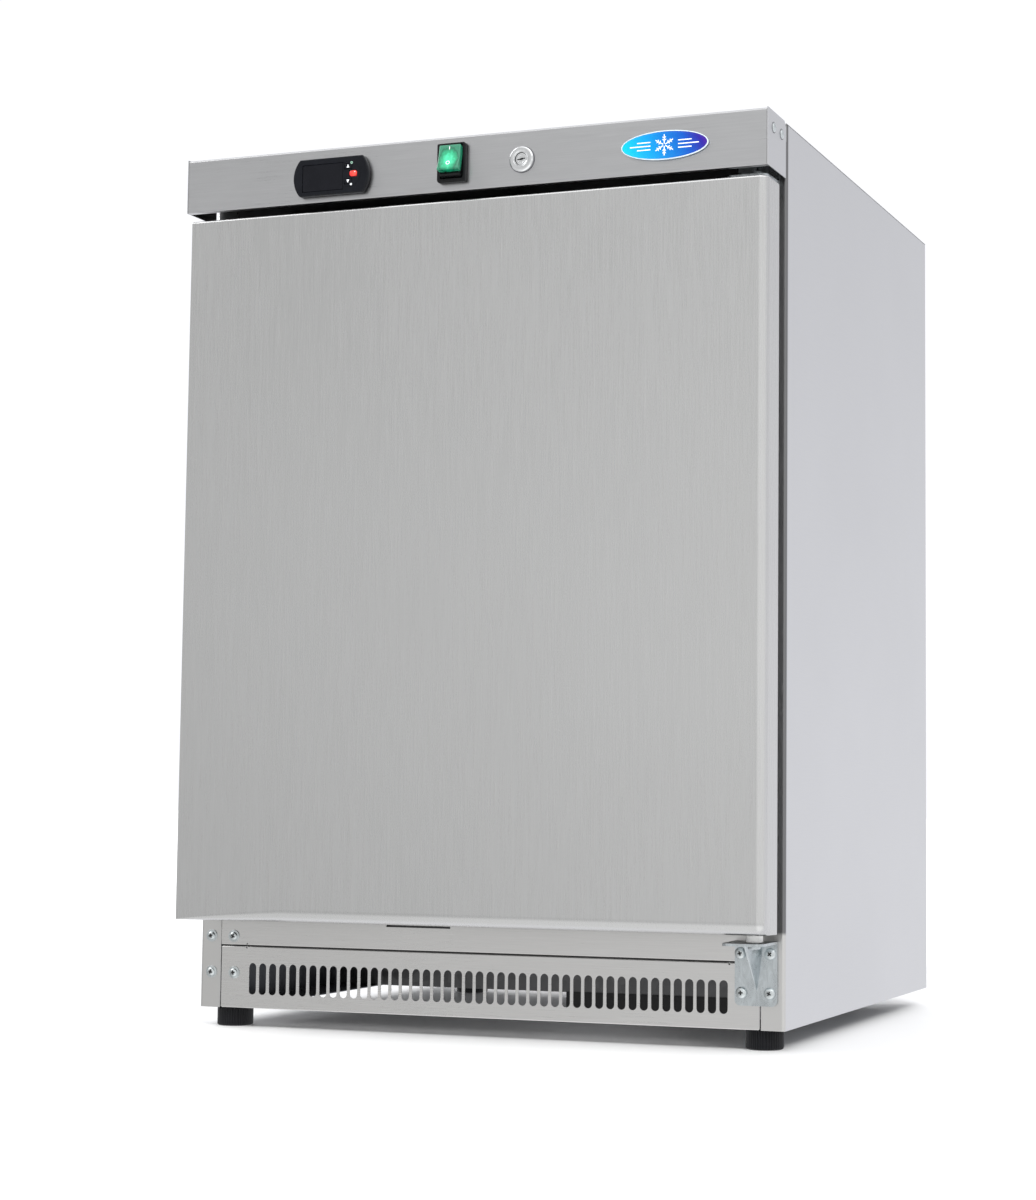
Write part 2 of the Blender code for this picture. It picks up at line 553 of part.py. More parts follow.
ring = block("door_gasket", "seal", rounded(rect(-GASKET_X, GASKET_X, GASKET_Z0, GASKET_Z1),
                                            {0: 0.004, 1: 0.004, 2: 0.004, 3: 0.004}, 2),
             'Y', 0.0366, 0.0581, (PIN_X, PIN_Y, 0))
cut(ring, cutter("gasket_inside", (-GASKET_X + GASKET_W, GASKET_X - GASKET_W, 0.03, 0.07,
                                   GASKET_Z0 + GASKET_W, GASKET_Z1 - GASKET_W)))

# ------------------------------------------------------------------ hinges
def hinge(which, z_ledge, z_plate0, z_plate1, up):
    corners = {0: 0.005, 1: 0.005} if up > 0 else {2: 0.005, 3: 0.005}
    plate = block(which + "_hinge_bracket", "zinc", rounded(rect(0.2535, 0.2935, z_plate0, z_plate1), corners, 3),
                  'Y', 0.0557, 0.0582)
    z0, z1 = sorted((z_ledge, z_ledge - 0.0025 * up))
    nose = rounded([(0.2535, 0.0570), (0.2560, 0.0190), (0.2925, 0.0190), (0.2935, 0.0570)], {1: 0.011, 2: 0.009}, 4)
    cut(plate, block(which + "_ledge", None, nose, 'Z', z0, z1, group=CUTTERS), 'UNION')
    tip = z_plate0 + 0.012 if up > 0 else z_plate1 - 0.012
    root = (z0 + z1) / 2
    bm = bmesh.new()
    corners = [bm.verts.new(p) for p in ((0.2640, 0.0570, root), (0.2790, 0.0570, root),
                                         (0.2725, 0.0270, root), (0.2745, 0.0570, tip))]
    bmesh.ops.convex_hull(bm, input=corners)
    cut(plate, place(which + "_gusset", bm, None, group=CUTTERS), 'UNION')
    cut(plate, cutter_bars(which + "_pin_hole", [((PIN_X, PIN_Y, z_ledge - 0.02), (0, 0, 1), PIN_R + 0.0004, 0.04)]))
    return plate


LEDGE_LOW, LEDGE_HIGH = 0.0985, 0.7906
low = hinge("lower", LEDGE_LOW, 0.0405, LEDGE_LOW, 1)
high = hinge("upper", LEDGE_HIGH, LEDGE_HIGH, 0.8260, -1)
SCREWS = ((0.2590, 0.0872), (0.2872, 0.0872), (0.2600, 0.0520), (0.2866, 0.0520))
cut(low, cutter_bars("lower_screw_holes", [((x, 0.05, z), (0, 1, 0), 0.0027, 0.02) for x, z in SCREWS], 12))

turned("lower_hinge_pin", "zinc",
       [(0, 0.0250), (0.0032, 0.0250), (PIN_R, 0.0242), (PIN_R, -0.0029), (0.0058, -0.0029), (0.0058, -0.0055), (0, -0.0055)],
       (PIN_X, PIN_Y, LEDGE_LOW), 24)
turned("upper_hinge_pin", "zinc",
       [(0, 0.0055), (0.0058, 0.0055), (0.0058, 0.0029), (PIN_R, 0.0029), (PIN_R, -0.0242), (0.0032, -0.0250), (0, -0.0250)],
       (PIN_X, PIN_Y, LEDGE_HIGH), 24)
BORE = 0.00412
turned("lower_hinge_bush", "nylon",
       [(BORE, 0.0200), (0.0052, 0.0200), (0.0052, 0.0068), (0.0078, 0.0068), (0.0078, 0.0004), (BORE, 0.0004), (BORE, 0.0200)],
       (PIN_X, PIN_Y, LEDGE_LOW), 24)
turned("upper_hinge_bush", "nylon",
       [(BORE, -0.0004), (0.0078, -0.0004), (0.0078, -0.0034), (0.0052, -0.0034), (0.0052, -0.0170), (BORE, -0.0170), (BORE, -0.0004)],
       (PIN_X, PIN_Y, LEDGE_HIGH), 24)

for i, (x, z) in enumerate(SCREWS):
    turned("hinge_screw_%d" % (i + 1), "zinc",
           [(0, -0.0030), (0.0026, -0.0028), (0.0046, -0.0016), (0.0050, -0.0004), (0.0022, -0.0004),
            (0.0022, 0.0022), (0, 0.0022)],
           (x, 0.0557, z), 16, (0, 1, 0))

# ------------------------------------------------------------------ feet
for name, x, y in (("foot_front_left", -FOOT_X, FOOT_YF), ("foot_front_right", FOOT_X, FOOT_YF),
                   ("foot_rear_left", -FOOT_XR, FOOT_YR), ("foot_rear_right", FOOT_XR, FOOT_YR)):
    turned(name, "rubber",
           [(0, 0.0420), (0.0040, 0.0420), (0.0040, 0.0180), (0.0164, 0.0180), (FOOT_R, 0.0170),
            (FOOT_R, 0.0014), (0.0162, 0.0), (0, 0.0)],
           (x, y, 0), 24)

# ------------------------------------------------------------------ shelves
for name, z in zip(("shelf_bottom", "shelf_middle", "shelf_top"), SHELF_Z):
    ob = slab(name, "wirecoat", (-SHELF_X, SHELF_X, SHELF_Y0, SHELF_Y1, z, z + SHELF_T))
    n, rim, bar = 13, 0.0060, 0.0036
    pitch = (2 * SHELF_X - 2 * rim + bar) / n
    holes = []
    mid = (SHELF_Y0 + SHELF_Y1) / 2
    for i in range(n):
        a = -SHELF_X + rim + i * pitch
        for y0, y1 in ((SHELF_Y0 + rim, mid - 0.0025), (mid + 0.0025, SHELF_Y1 - rim)):
            holes.append((a, a + pitch - bar, y0, y1, z - 0.01, z + 0.02))
    cut(ob, cutter(name + "_cells", *holes))

# ------------------------------------------------------------------ refrigeration
COMP = (0.1300, 0.4450)
shell = turned("compressor", "blackpaint",
               [(0, 0.1620), (0.0300, 0.1605), (0.0540, 0.1500), (0.0680, 0.1300), (0.0720, 0.1050),
                (0.0720, 0.0860), (0.0770, 0.0860), (0.0770, 0.0800), (0.0720, 0.0800), (0.0720, 0.0400),
                (0.0600, 0.0180), (0.0300, 0.0100), (0, 0.0100)],
               (*COMP, 0.0226), 32)
bm = bmesh.new()
box(bm, COMP[0] - 0.0850, COMP[0] + 0.0850, COMP[1] - 0.0500, COMP[1] + 0.0500, 0.0300, 0.0360)
for dx in (-0.070, 0.070):
    for dy in (-0.036, 0.036):
        cyl(bm, (COMP[0] + dx, COMP[1] + dy, 0.0226), (0, 0, 1), 0.011, 0.009, 0.012, 12)
feet = place("compressor_feet_form", bm, None, group=CUTTERS)
mod = cut(shell, feet, 'UNION')
mod.use_self = True
slab("compressor_terminal_cover", "blackplastic",
     (COMP[0] + 0.0725, COMP[0] + 0.1040, COMP[1] - 0.0280, COMP[1] + 0.0280, 0.0450, 0.0980), round_edge=0.004)

fins = []
x0, x1, y0, y1 = -0.2050, -0.1550, 0.3700, 0.5400
n = 16
step = (y1 - y0) / n
comb = [(x0, y0)]
for i in range(n):
    a = y0 + i * step
    comb += [(x1, a), (x1, a + step * 0.45), (x0 + 0.022, a + step * 0.45), (x0 + 0.022, a + step)]
comb = comb[:-2] + [(x0, a + step * 0.45)]
block("condenser", "fin", comb, 'Z', 0.0300, 0.2000)
shroud = slab("condenser_shroud", "galvanised", (-0.1535, -0.1515, 0.3650, 0.5440, 0.0226, 0.2050))
cut(shroud, cutter_bars("shroud_hole", [((-0.17, 0.4550, 0.1150), (1, 0, 0), 0.0780, 0.04)], 32))
fan = turned("condenser_fan_blade", "fin",
             [(0, 0.0100), (0.0180, 0.0100), (0.0180, -0.0080), (0, -0.0080)], (-0.1380, 0.4550, 0.1150), 20, (1, 0, 0))
bm = bmesh.new()
for k in range(4):
    verts = box(bm, -0.0008, 0.0008, -0.0260, 0.0260, 0.0120, 0.0730)
    for v in verts:
        if v.co.z < 0.03:
            v.co.y *= 0.55
    bmesh.ops.rotate(bm, verts=verts, cent=(0, 0, 0), matrix=Matrix.Rotation(math.radians(24), 3, 'Z'))
    bmesh.ops.rotate(bm, verts=verts, cent=(0, 0, 0), matrix=Matrix.Rotation(math.radians(90 * k), 3, 'X'))
bmesh.ops.translate(bm, verts=bm.verts, vec=(-0.1380, 0.4550, 0.1150))
cut(fan, place("fan_vanes", bm, None, group=CUTTERS), 'UNION')
motor = turned("condenser_fan_motor", "blackpaint",
               [(0, 0.0420), (0.0240, 0.0400), (0.0300, 0.0330), (0.0300, 0.0), (0.0, 0.0)], (-0.1240, 0.4550, 0.1150), 24, (1, 0, 0))
bm = bmesh.new()
box(bm, -0.1120, -0.1060, 0.4500, 0.4600, 0.0240, 0.1150)
cut(motor, place("motor_bracket", bm, None, group=CUTTERS), 'UNION')

turned("filter_drier", "copper",
       [(0, 0.0450), (0.0040, 0.0440), (0.0095, 0.0350), (0.0095, -0.0350), (0.0040, -0.0440), (0, -0.0450)],
       (0.0000, 0.5300, 0.1500), 16)
tube("suction_pipe", "copper", [(0.1300, 0.5260, 0.1300), (0.1300, 0.5480, 0.1400), (0.1500, 0.5600, 0.1700),
                                (0.1750, 0.5620, 0.2100), (0.1800, 0.5620, 0.2650)], 0.0035, 4)
slab("drip_tray", "blackplastic", (0.0300, 0.2300, 0.3600, 0.5450, 0.2120, 0.2300), round_edge=0.003)
pan = bpy.data.objects["drip_tray"]
cut(pan, cutter("drip_tray_inside", (0.0320, 0.2280, 0.3620, 0.5430, 0.2140, 0.2500)))
tube("drain_hose", "nylon", [(0.0700, 0.5150, 0.2655), (0.0720, 0.5155, 0.2500), (0.0780, 0.5160, 0.2350), (0.0800, 0.5160, 0.2200)], 0.0050, 4)
turned("cable_gland", "blackplastic",
       [(0.0040, 0.0120), (0.0075, 0.0120), (0.0090, 0.0080), (0.0090, 0.0020), (0.0120, 0.0020), (0.0120, -0.0020),
        (0.0080, -0.0020), (0.0080, -0.0160), (0.0040, -0.0160), (0.0040, 0.0120)],
       (0.2370, 0.5729, 0.0900), 20, (0, 1, 0))
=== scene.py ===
"""Looks of the under-counter fridge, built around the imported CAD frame."""

import math
import random

import bmesh
import bpy
from mathutils import Matrix, Vector


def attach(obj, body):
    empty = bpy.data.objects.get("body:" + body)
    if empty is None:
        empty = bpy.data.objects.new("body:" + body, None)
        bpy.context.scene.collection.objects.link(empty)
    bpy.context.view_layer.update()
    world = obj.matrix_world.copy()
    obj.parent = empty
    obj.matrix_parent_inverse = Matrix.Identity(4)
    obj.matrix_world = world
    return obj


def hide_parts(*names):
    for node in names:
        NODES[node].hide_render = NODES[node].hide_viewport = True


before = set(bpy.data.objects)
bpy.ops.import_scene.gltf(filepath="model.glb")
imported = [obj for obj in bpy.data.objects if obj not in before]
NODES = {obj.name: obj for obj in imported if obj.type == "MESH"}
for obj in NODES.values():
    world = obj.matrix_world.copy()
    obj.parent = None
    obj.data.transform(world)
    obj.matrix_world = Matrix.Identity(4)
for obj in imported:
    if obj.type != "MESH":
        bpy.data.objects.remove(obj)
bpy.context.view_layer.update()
SCENE = bpy.context.scene
random.seed(7)

# ------------------------------------------------------------------ sizes (front datum, metres)
ROCKER_Y, ROCKER_Z, ROCKER_R, ROCKER_TILT = -0.0010, 0.8225, 0.0156, math.radians(15)
FRONT_MOST = ROCKER_Y - ROCKER_R * math.cos(math.radians(56.4) - ROCKER_TILT)
DEPTH = 0.585
OFF = (DEPTH + FRONT_MOST) / 2
SHIFT = Vector((0, -OFF, 0))
SHEET, HALF, GAP = 0.0008, 0.0004, 0.0004
FOOT_H, PANEL_TOP, TOP_Z = 0.0185, 0.8467, 0.8479
FASCIA_Z0, FASCIA_Z1, FASCIA_RETURN, FRONT = 0.7953, 0.8487, 0.0545, 0.0586
DOOR_X0, DOOR_X1, DOOR_Z0, DOOR_Z1, DOOR_BACK = -0.2937, 0.2995, 0.1060, 0.7868, 0.0360
PIN_X, PIN_Y, PIN_R = 0.2810, 0.0280, 0.0040
CAV_X, CAV_Y1, CAV_Z0, CAV_Z1, STEP_Y, STEP_Z = 0.2520, 0.5360, 0.1500, 0.7640, 0.3000, 0.3120
UNDER_Z0, UNDER_Z1, UNDER_Y = 0.1050, 0.2680, 0.3450
SHELF_Z = (0.3350, 0.4850, 0.6350)
SW_X, SW_Z = -0.01145, 0.82195
LOCK_X, LOCK_Z = 0.0590, 0.8197
BADGE_X, BADGE_Z = 0.2015, 0.8207
CTRL_X0, CTRL_X1, CTRL_Z0, CTRL_Z1 = -0.1790, -0.0984, 0.8006, 0.8368
FEET = {"foot_front_left": (-0.2736, 0.0826), "foot_front_right": (0.2736, 0.0826),
        "foot_rear_left": (-0.2180, 0.5200), "foot_rear_right": (0.2180, 0.5200)}
FOOT_R = 0.0175

# ------------------------------------------------------------------ stage
SCENE.view_settings.view_transform = 'Standard'
FRONT_LO, FRONT_HI, BACK = 0.40, 1.09, 1.025

cam_data = bpy.data.cameras.new("camera")
cam_data.lens = 2419.61 / 1200 * 36
cam_data.sensor_width = 36
cam_data.shift_x = -(660.92 - 518) / 1200
cam_data.shift_y = (579.34 - 600) / 1200
cam_data.clip_end = 100
cam = bpy.data.objects.new("camera", cam_data)
right = Vector((0.938653, 0.344786, 0.007322))
down = Vector((-0.022521, 0.082469, -0.996339))
ahead = Vector((-0.344128, 0.935052, 0.085174))
cam.matrix_world = Matrix.Translation(Vector((0.950522, -2.038546, 0.236825)) + SHIFT) @ \
    Matrix((right, -down, -ahead)).transposed().to_4x4()
SCENE.collection.objects.link(cam)
SCENE.camera = cam

world = bpy.data.worlds.new("studio")
SCENE.world = world
world.use_nodes = True
wn, wl = world.node_tree.nodes, world.node_tree.links
wn.clear()
w_out = wn.new("ShaderNodeOutputWorld")
w_bg = wn.new("ShaderNodeBackground")
w_tc = wn.new("ShaderNodeTexCoord")
w_sep = wn.new("ShaderNodeSeparateXYZ")


def w_node(kind, **values):
    node = wn.new(kind)
    for k, v in values.items():
        setattr(node, k, v)
    return node


def w_range(source, a, b, lo, hi, smooth=True):
    node = w_node("ShaderNodeMapRange")
    node.interpolation_type = 'SMOOTHSTEP' if smooth else 'LINEAR'
    for k, v in (("From Min", a), ("From Max", b), ("To Min", lo), ("To Max", hi)):
        node.inputs[k].default_value = v
    wl.new(source, node.inputs["Value"])
    return node.outputs["Result"]


def w_math(op, a, b):
    node = w_node("ShaderNodeMath", operation=op)
    for i, v in enumerate((a, b)):
        if isinstance(v, (int, float)):
            node.inputs[i].default_value = v
        else:
            wl.new(v, node.inputs[i])
    return node.outputs[0]


wl.new(w_tc.outputs["Generated"], w_sep.inputs[0])
X, Y, Z = w_sep.outputs
# grey studio in front of the door, brighter to the right, white behind the cabinet
front = w_math('MULTIPLY', w_range(X, -0.95, -0.02, FRONT_LO, FRONT_HI, False),
               w_math('MULTIPLY', w_math('ADD', w_range(Z, 0.06, 0.26, 1.0, 0.74), w_range(Z, 0.36, 0.62, 0.0, 0.80)),
                      w_math('ADD', w_range(Z, -0.10, 0.08, 0.775, 1.03), w_range(Z, -0.60, -0.34, 0.36, 0.0))))
dim = w_math('MULTIPLY', w_range(X, -0.15, 0.20, 0.0, 1.0), w_range(Z, -0.10, 0.42, 0.10, 0.32))
back = w_math('MULTIPLY', w_range(Y, -0.35, 0.30, 0.0, BACK), w_math('SUBTRACT', 1.0, dim))
level = w_math('ADD', w_math('MULTIPLY', front, w_range(Y, -0.35, 0.30, 1.0, 0.0)), back)
w_rgb = w_node("ShaderNodeCombineColor")
wl.new(w_math('MULTIPLY', level, 0.995), w_rgb.inputs[0])
wl.new(level, w_rgb.inputs[1])
wl.new(w_math('MULTIPLY', level, w_range(Y, -0.35, 0.30, 1.0, 1.03)), w_rgb.inputs[2])
wl.new(w_rgb.outputs[0], w_bg.inputs["Color"])
wl.new(w_bg.outputs[0], w_out.inputs["Surface"])


def sun(name, direction, strength, spread, color=(1, 1, 1)):
    data = bpy.data.lights.new(name, 'SUN')
    data.energy = strength
    data.angle = math.radians(spread)
    data.color = color
    ob = bpy.data.objects.new(name, data)
    ob.rotation_euler = Vector(direction).to_track_quat('Z', 'Y').to_euler()
    ob.location = Vector(direction) * 4
    SCENE.collection.objects.link(ob)
    return ob


key_light = sun("key_front_right", (0.62, -0.62, 0.75), 1.45, 24)
key_light.visible_glossy = False
sun("fill_front_left", (-0.80, -0.30, 0.62), 0.85, 30)
sun("low_back_left", (-0.90, 0.62, 0.24), 1.05, 10)


# ------------------------------------------------------------------ node materials
class Nodes:
    """Small helper to write a node tree in a few lines."""

    def __init__(self, name):
        self.mat = bpy.data.materials.new(name)
        self.mat.use_nodes = True
        self.tree = self.mat.node_tree
        self.n, self.l = self.tree.nodes, self.tree.links
        self.shader = self.n["Principled BSDF"]
        self.coords = self.n.new("ShaderNodeTexCoord").outputs["Object"]

    def link(self, a, b):
        self.l.new(a, b)

    def mapped(self, scale, rotation=(0, 0, 0), location=(0, 0, 0)):
        m = self.n.new("ShaderNodeMapping")
        m.inputs["Scale"].default_value = scale
        m.inputs["Rotation"].default_value = rotation
        m.inputs["Location"].default_value = location
        self.link(self.coords, m.inputs["Vector"])
        return m.outputs["Vector"]

    def noise(self, scale, detail=2.0, rough=0.5, vector=None, distortion=0.0):
        t = self.n.new("ShaderNodeTexNoise")
        t.inputs["Scale"].default_value = 1.0
        t.inputs["Detail"].default_value = detail
        t.inputs["Roughness"].default_value = rough
        t.inputs["Distortion"].default_value = distortion
        self.link(vector or self.mapped(scale), t.inputs["Vector"])
        return t.outputs["Fac"]

    def voronoi(self, scale, feature='F1', out="Distance", vector=None):
        t = self.n.new("ShaderNodeTexVoronoi")
        t.feature = feature
        t.inputs["Scale"].default_value = 1.0
        self.link(vector or self.mapped(scale), t.inputs["Vector"])
        return t.outputs[out]

    def ramp(self, fac, stops, interp='LINEAR'):
        r = self.n.new("ShaderNodeValToRGB")
        r.color_ramp.interpolation = interp
        el = r.color_ramp.elements
        while len(el) > 1:
            el.remove(el[-1])
        el[0].position, el[0].color = stops[0][0], (*stops[0][1], 1)
        for p, c in stops[1:]:
            e = el.new(p)
            e.color = (*c, 1)
        self.link(fac, r.inputs["Fac"])
        return r.outputs["Color"]

    def remap(self, fac, a, b, lo=0.0, hi=1.0):
        m = self.n.new("ShaderNodeMapRange")
        m.inputs["From Min"].default_value = lo
        m.inputs["From Max"].default_value = hi
        m.inputs["To Min"].default_value = a
        m.inputs["To Max"].default_value = b
        self.link(fac, m.inputs["Value"])
        return m.outputs["Result"]

    def math(self, op, a, b):
        m = self.n.new("ShaderNodeMath")
        m.operation = op
        for i, v in enumerate((a, b)):
            if isinstance(v, (int, float)):
                m.inputs[i].default_value = v
            else:
                self.link(v, m.inputs[i])
        return m.outputs[0]

    def mix(self, fac, a, b, blend='MIX'):
        m = self.n.new("ShaderNodeMix")
        m.data_type = 'RGBA'
        m.blend_type = blend
        if isinstance(fac, (int, float)):
            m.inputs["Factor"].default_value = fac
        else:
            self.link(fac, m.inputs["Factor"])
        for k, v in (("A", a), ("B", b)):
            if isinstance(v, tuple):
                m.inputs[k].default_value = (*v, 1)
            else:
                self.link(v, m.inputs[k])
        return m.outputs["Result"]

    def bump(self, height, strength, distance, normal=None):
        b = self.n.new("ShaderNodeBump")
        b.inputs["Strength"].default_value = strength
        b.inputs["Distance"].default_value = distance
        self.link(height, b.inputs["Height"])
        if normal:
            self.link(normal, b.inputs["Normal"])
        return b.outputs["Normal"]

    def base(self, color):
        if isinstance(color, tuple):
            self.shader.inputs["Base Color"].default_value = (*color, 1)
        else:
            self.link(color, self.shader.inputs["Base Color"])

    def rough(self, value):
        if isinstance(value, (int, float)):
            self.shader.inputs["Roughness"].default_value = value
        else:
            self.link(value, self.shader.inputs["Roughness"])

    def put(self, **values):
        for k, v in values.items():
            key = k.replace("_", " ")
            key = {"IOR": "IOR"}.get(key, key)
            self.shader.inputs[key].default_value = v

    def normal(self, socket):
        self.link(socket, self.shader.inputs["Normal"])


MATS = {}


def brushed(name, grain, tone, rough=0.36, contrast=0.06, tint=(1.0, 1.0, 1.0), bump=0.10, inner=0.0, highlight_z=0.0):
    """Brushed stainless sheet: streaks run along the grain axis. A given top height paints a highlight line just below
    it, and inner paints shade on a side panel's inner face and on its front flange behind the door.
    """
    if name in MATS:
        return MATS[name]
    m = Nodes(name)
    long_fine, long_wide = 45.0, 22.0
    fine = [3300.0] * 3
    wide = [900.0] * 3
    i = "XYZ".index(grain)
    fine[i], wide[i] = long_fine, long_wide
    f = m.noise(tuple(fine), 2.0, 0.6)
    w = m.noise(tuple(wide), 3.0, 0.6)
    cloud = m.noise((5.0, 5.0, 5.0), 3.0, 0.5)
    streak = m.math('ADD', m.math('MULTIPLY', f, 0.45), m.math('MULTIPLY', w, 0.55))
    lo = tuple(tone * t * (1 - contrast) for t in tint)
    hi = tuple(tone * t * (1 + contrast) for t in tint)
    col = m.ramp(streak, [(0.28, lo), (0.72, hi)])
    col = m.mix(m.remap(cloud, 0.0, 0.10, 0.3, 0.7), col, tuple(tone * t * 0.92 for t in tint))
    # painted highlight: the top 1-2 mm of the sheet is painted near white, standing in for the bright line the door's
    # top bend catches
    if highlight_z:
        sep = m.n.new("ShaderNodeSeparateXYZ")
        m.link(m.coords, sep.inputs[0])
        col = m.mix(m.remap(sep.outputs["Z"], 0.0, 1.0, highlight_z - 0.0019, highlight_z - 0.0010), col, (0.97, 0.97, 0.97))
    # painted shade: the inner face is painted near black, and the front flange above the door bottom (behind the door)
    # is painted dark grey, standing in for the shade there; the flange below the door keeps a steel tone
    if inner:
        sep = m.n.new("ShaderNodeSeparateXYZ")
        m.link(m.coords, sep.inputs[0])
        away = m.math('ABSOLUTE', sep.outputs["X"], 0.0)
        shown = m.math('MAXIMUM', m.remap(away, 0.0, 1.0, 0.29925, 0.29945),
                       m.remap(sep.outputs["Y"], 0.0, 1.0, DEPTH - 0.0006 + SHIFT.y, DEPTH - 0.0003 + SHIFT.y))
        col = m.mix(shown, (0.060, 0.062, 0.066), col)
        edge = m.remap(sep.outputs["Y"], 0.0, 1.0, 0.0608 + SHIFT.y, 0.0625 + SHIFT.y)
        lip = m.mix(m.remap(sep.outputs["Z"], 0.0, 1.0, 0.1035, 0.1065), tuple(tone * t * inner for t in (1.0, 0.99, 0.975)),
                    (0.22, 0.22, 0.225))
        col = m.mix(edge, lip, col)
    m.base(col)
    r = m.math('ADD', m.remap(streak, rough - 0.05, rough + 0.05, 0.25, 0.75),
               m.remap(cloud, -0.02, 0.03, 0.3, 0.7))
    m.rough(r)
    m.normal(m.bump(streak, bump, 0.00006))
    m.put(Metallic=1.0)
    MATS[name] = m.mat
    return m.mat


def zinc(name="zinc_plate", tone=(0.62, 0.66, 0.69), shade_top_z=0.0):
    if name in MATS:
        return MATS[name]
    m = Nodes(name)
    cloud = m.noise((160.0, 160.0, 60.0), 4.0, 0.65, distortion=1.0)
    fine = m.noise((900.0, 900.0, 900.0), 3.0, 0.6)
    col = m.ramp(cloud, [(0.30, tuple(t * 0.84 for t in tone)), (0.52, tone), (0.75, tuple(t * 1.22 for t in tone))])
    # painted reflection and shade: above this height the top face is painted dark, standing in for the dark door
    # underside it reflects
    if shade_top_z:
        sep = m.n.new("ShaderNodeSeparateXYZ")
        m.link(m.coords, sep.inputs[0])
        col = m.mix(m.remap(sep.outputs["Z"], 0.0, 1.0, shade_top_z - 0.0003, shade_top_z - 0.0001), col, (0.16, 0.165, 0.17))
    m.base(col)
    m.rough(m.math('ADD', m.remap(cloud, 0.24, 0.40, 0.3, 0.7), m.remap(fine, -0.05, 0.05, 0.3, 0.7)))
    m.normal(m.bump(fine, 0.18, 0.00008))
    m.put(Metallic=1.0)
    MATS[name] = m.mat
    return m.mat


def galvanised(name="galvanised_sheet", tone=(0.46, 0.47, 0.48)):
    if name in MATS:
        return MATS[name]
    m = Nodes(name)
    wobble = m.noise((40.0, 40.0, 40.0), 2.0, 0.5)
    cell = m.voronoi((120.0, 120.0, 120.0), 'F1', "Color")
    bw = m.n.new("ShaderNodeRGBToBW")
    m.link(cell, bw.inputs[0])
    col = m.ramp(bw.outputs[0], [(0.2, tuple(t * 0.86 for t in tone)), (0.5, tone), (0.85, tuple(t * 1.18 for t in tone))])
    m.base(m.mix(m.remap(wobble, 0.0, 0.35, 0.35, 0.7), col, tuple(t * 0.8 for t in tone)))
    m.rough(m.remap(bw.outputs[0], 0.38, 0.56, 0.1, 0.9))
    m.normal(m.bump(bw.outputs[0], 0.08, 0.0001))
    m.put(Metallic=1.0)
    MATS[name] = m.mat
    return m.mat


def plastic(name, tone, rough=0.45, grain=1600.0, depth=0.12, variation=0.15, coat=0.0, spec=0.5, sub=0.0):
    """Moulded plastic with a fine moulded texture and a little unevenness."""
    if name in MATS:
        return MATS[name]
    m = Nodes(name)
    g = m.noise((grain,) * 3, 2.0, 0.5)
    cloud = m.noise((55.0, 55.0, 55.0), 3.0, 0.55)
    m.base(m.ramp(cloud, [(0.3, tuple(t * (1 - variation) for t in tone)), (0.7, tuple(min(1, t * (1 + variation)) for t in tone))]))
    m.rough(m.math('ADD', m.remap(g, rough - 0.06, rough + 0.06, 0.25, 0.75), m.remap(cloud, -0.03, 0.04, 0.3, 0.7)))
    m.normal(m.bump(g, depth, 0.00006))
    m.shader.inputs["Specular IOR Level"].default_value = spec
    m.shader.inputs["Coat Weight"].default_value = coat
    m.shader.inputs["Coat Roughness"].default_value = 0.06
    if sub:
        m.shader.inputs["Subsurface Weight"].default_value = sub
        m.shader.inputs["Subsurface Radius"].default_value = (0.003, 0.003, 0.003)
        m.shader.inputs["Subsurface Scale"].default_value = 1.0
    MATS[name] = m.mat
    return m.mat


def polished(name, tone, rough=0.14, centre=None):
    """Nickel or chrome; turned rings round a centre where one is given."""
    if name in MATS:
        return MATS[name]
    m = Nodes(name)
    cloud = m.noise((300.0, 300.0, 300.0), 3.0, 0.6)
    m.base(m.ramp(cloud, [(0.3, tuple(t * 0.93 for t in tone)), (0.7, tone)]))
    m.rough(m.remap(cloud, rough - 0.03, rough + 0.07, 0.3, 0.7))
    if centre:
        w = m.n.new("ShaderNodeTexWave")
        w.wave_type = 'RINGS'
        w.rings_direction = 'SPHERICAL'
        w.inputs["Scale"].default_value = 1.0
        w.inputs["Distortion"].default_value = 0.4
        m.link(m.mapped((900.0, 0.0, 900.0), location=(-centre[0] * 900, 0, -centre[2] * 900)), w.inputs["Vector"])
        m.normal(m.bump(w.outputs["Fac"], 0.08, 0.00005))
    else:
        m.normal(m.bump(cloud, 0.04, 0.00005))
    m.put(Metallic=1.0)
    MATS[name] = m.mat
    return m.mat


STEEL_DOOR = brushed("steel_door", 'Z', 0.640, 0.27, tint=(1.0, 1.0, 0.998), highlight_z=DOOR_Z1)
STEEL_SIDE = brushed("steel_side", 'Y', 0.700, 0.34, contrast=0.035, tint=(0.985, 0.99, 1.015))
STEEL_PANEL = brushed("steel_side_panel", 'Y', 0.715, 0.34, contrast=0.035, tint=(0.985, 0.99, 1.015), inner=0.95)
STEEL_FASCIA = brushed("steel_fascia", 'X', 0.562, 0.31, tint=(0.99, 0.993, 1.01))
STEEL_BASE = brushed("steel_base", 'X', 0.700, 0.29, tint=(1.01, 0.998, 0.985))
ZINC = zinc("zinc_plate", (0.62, 0.66, 0.68))
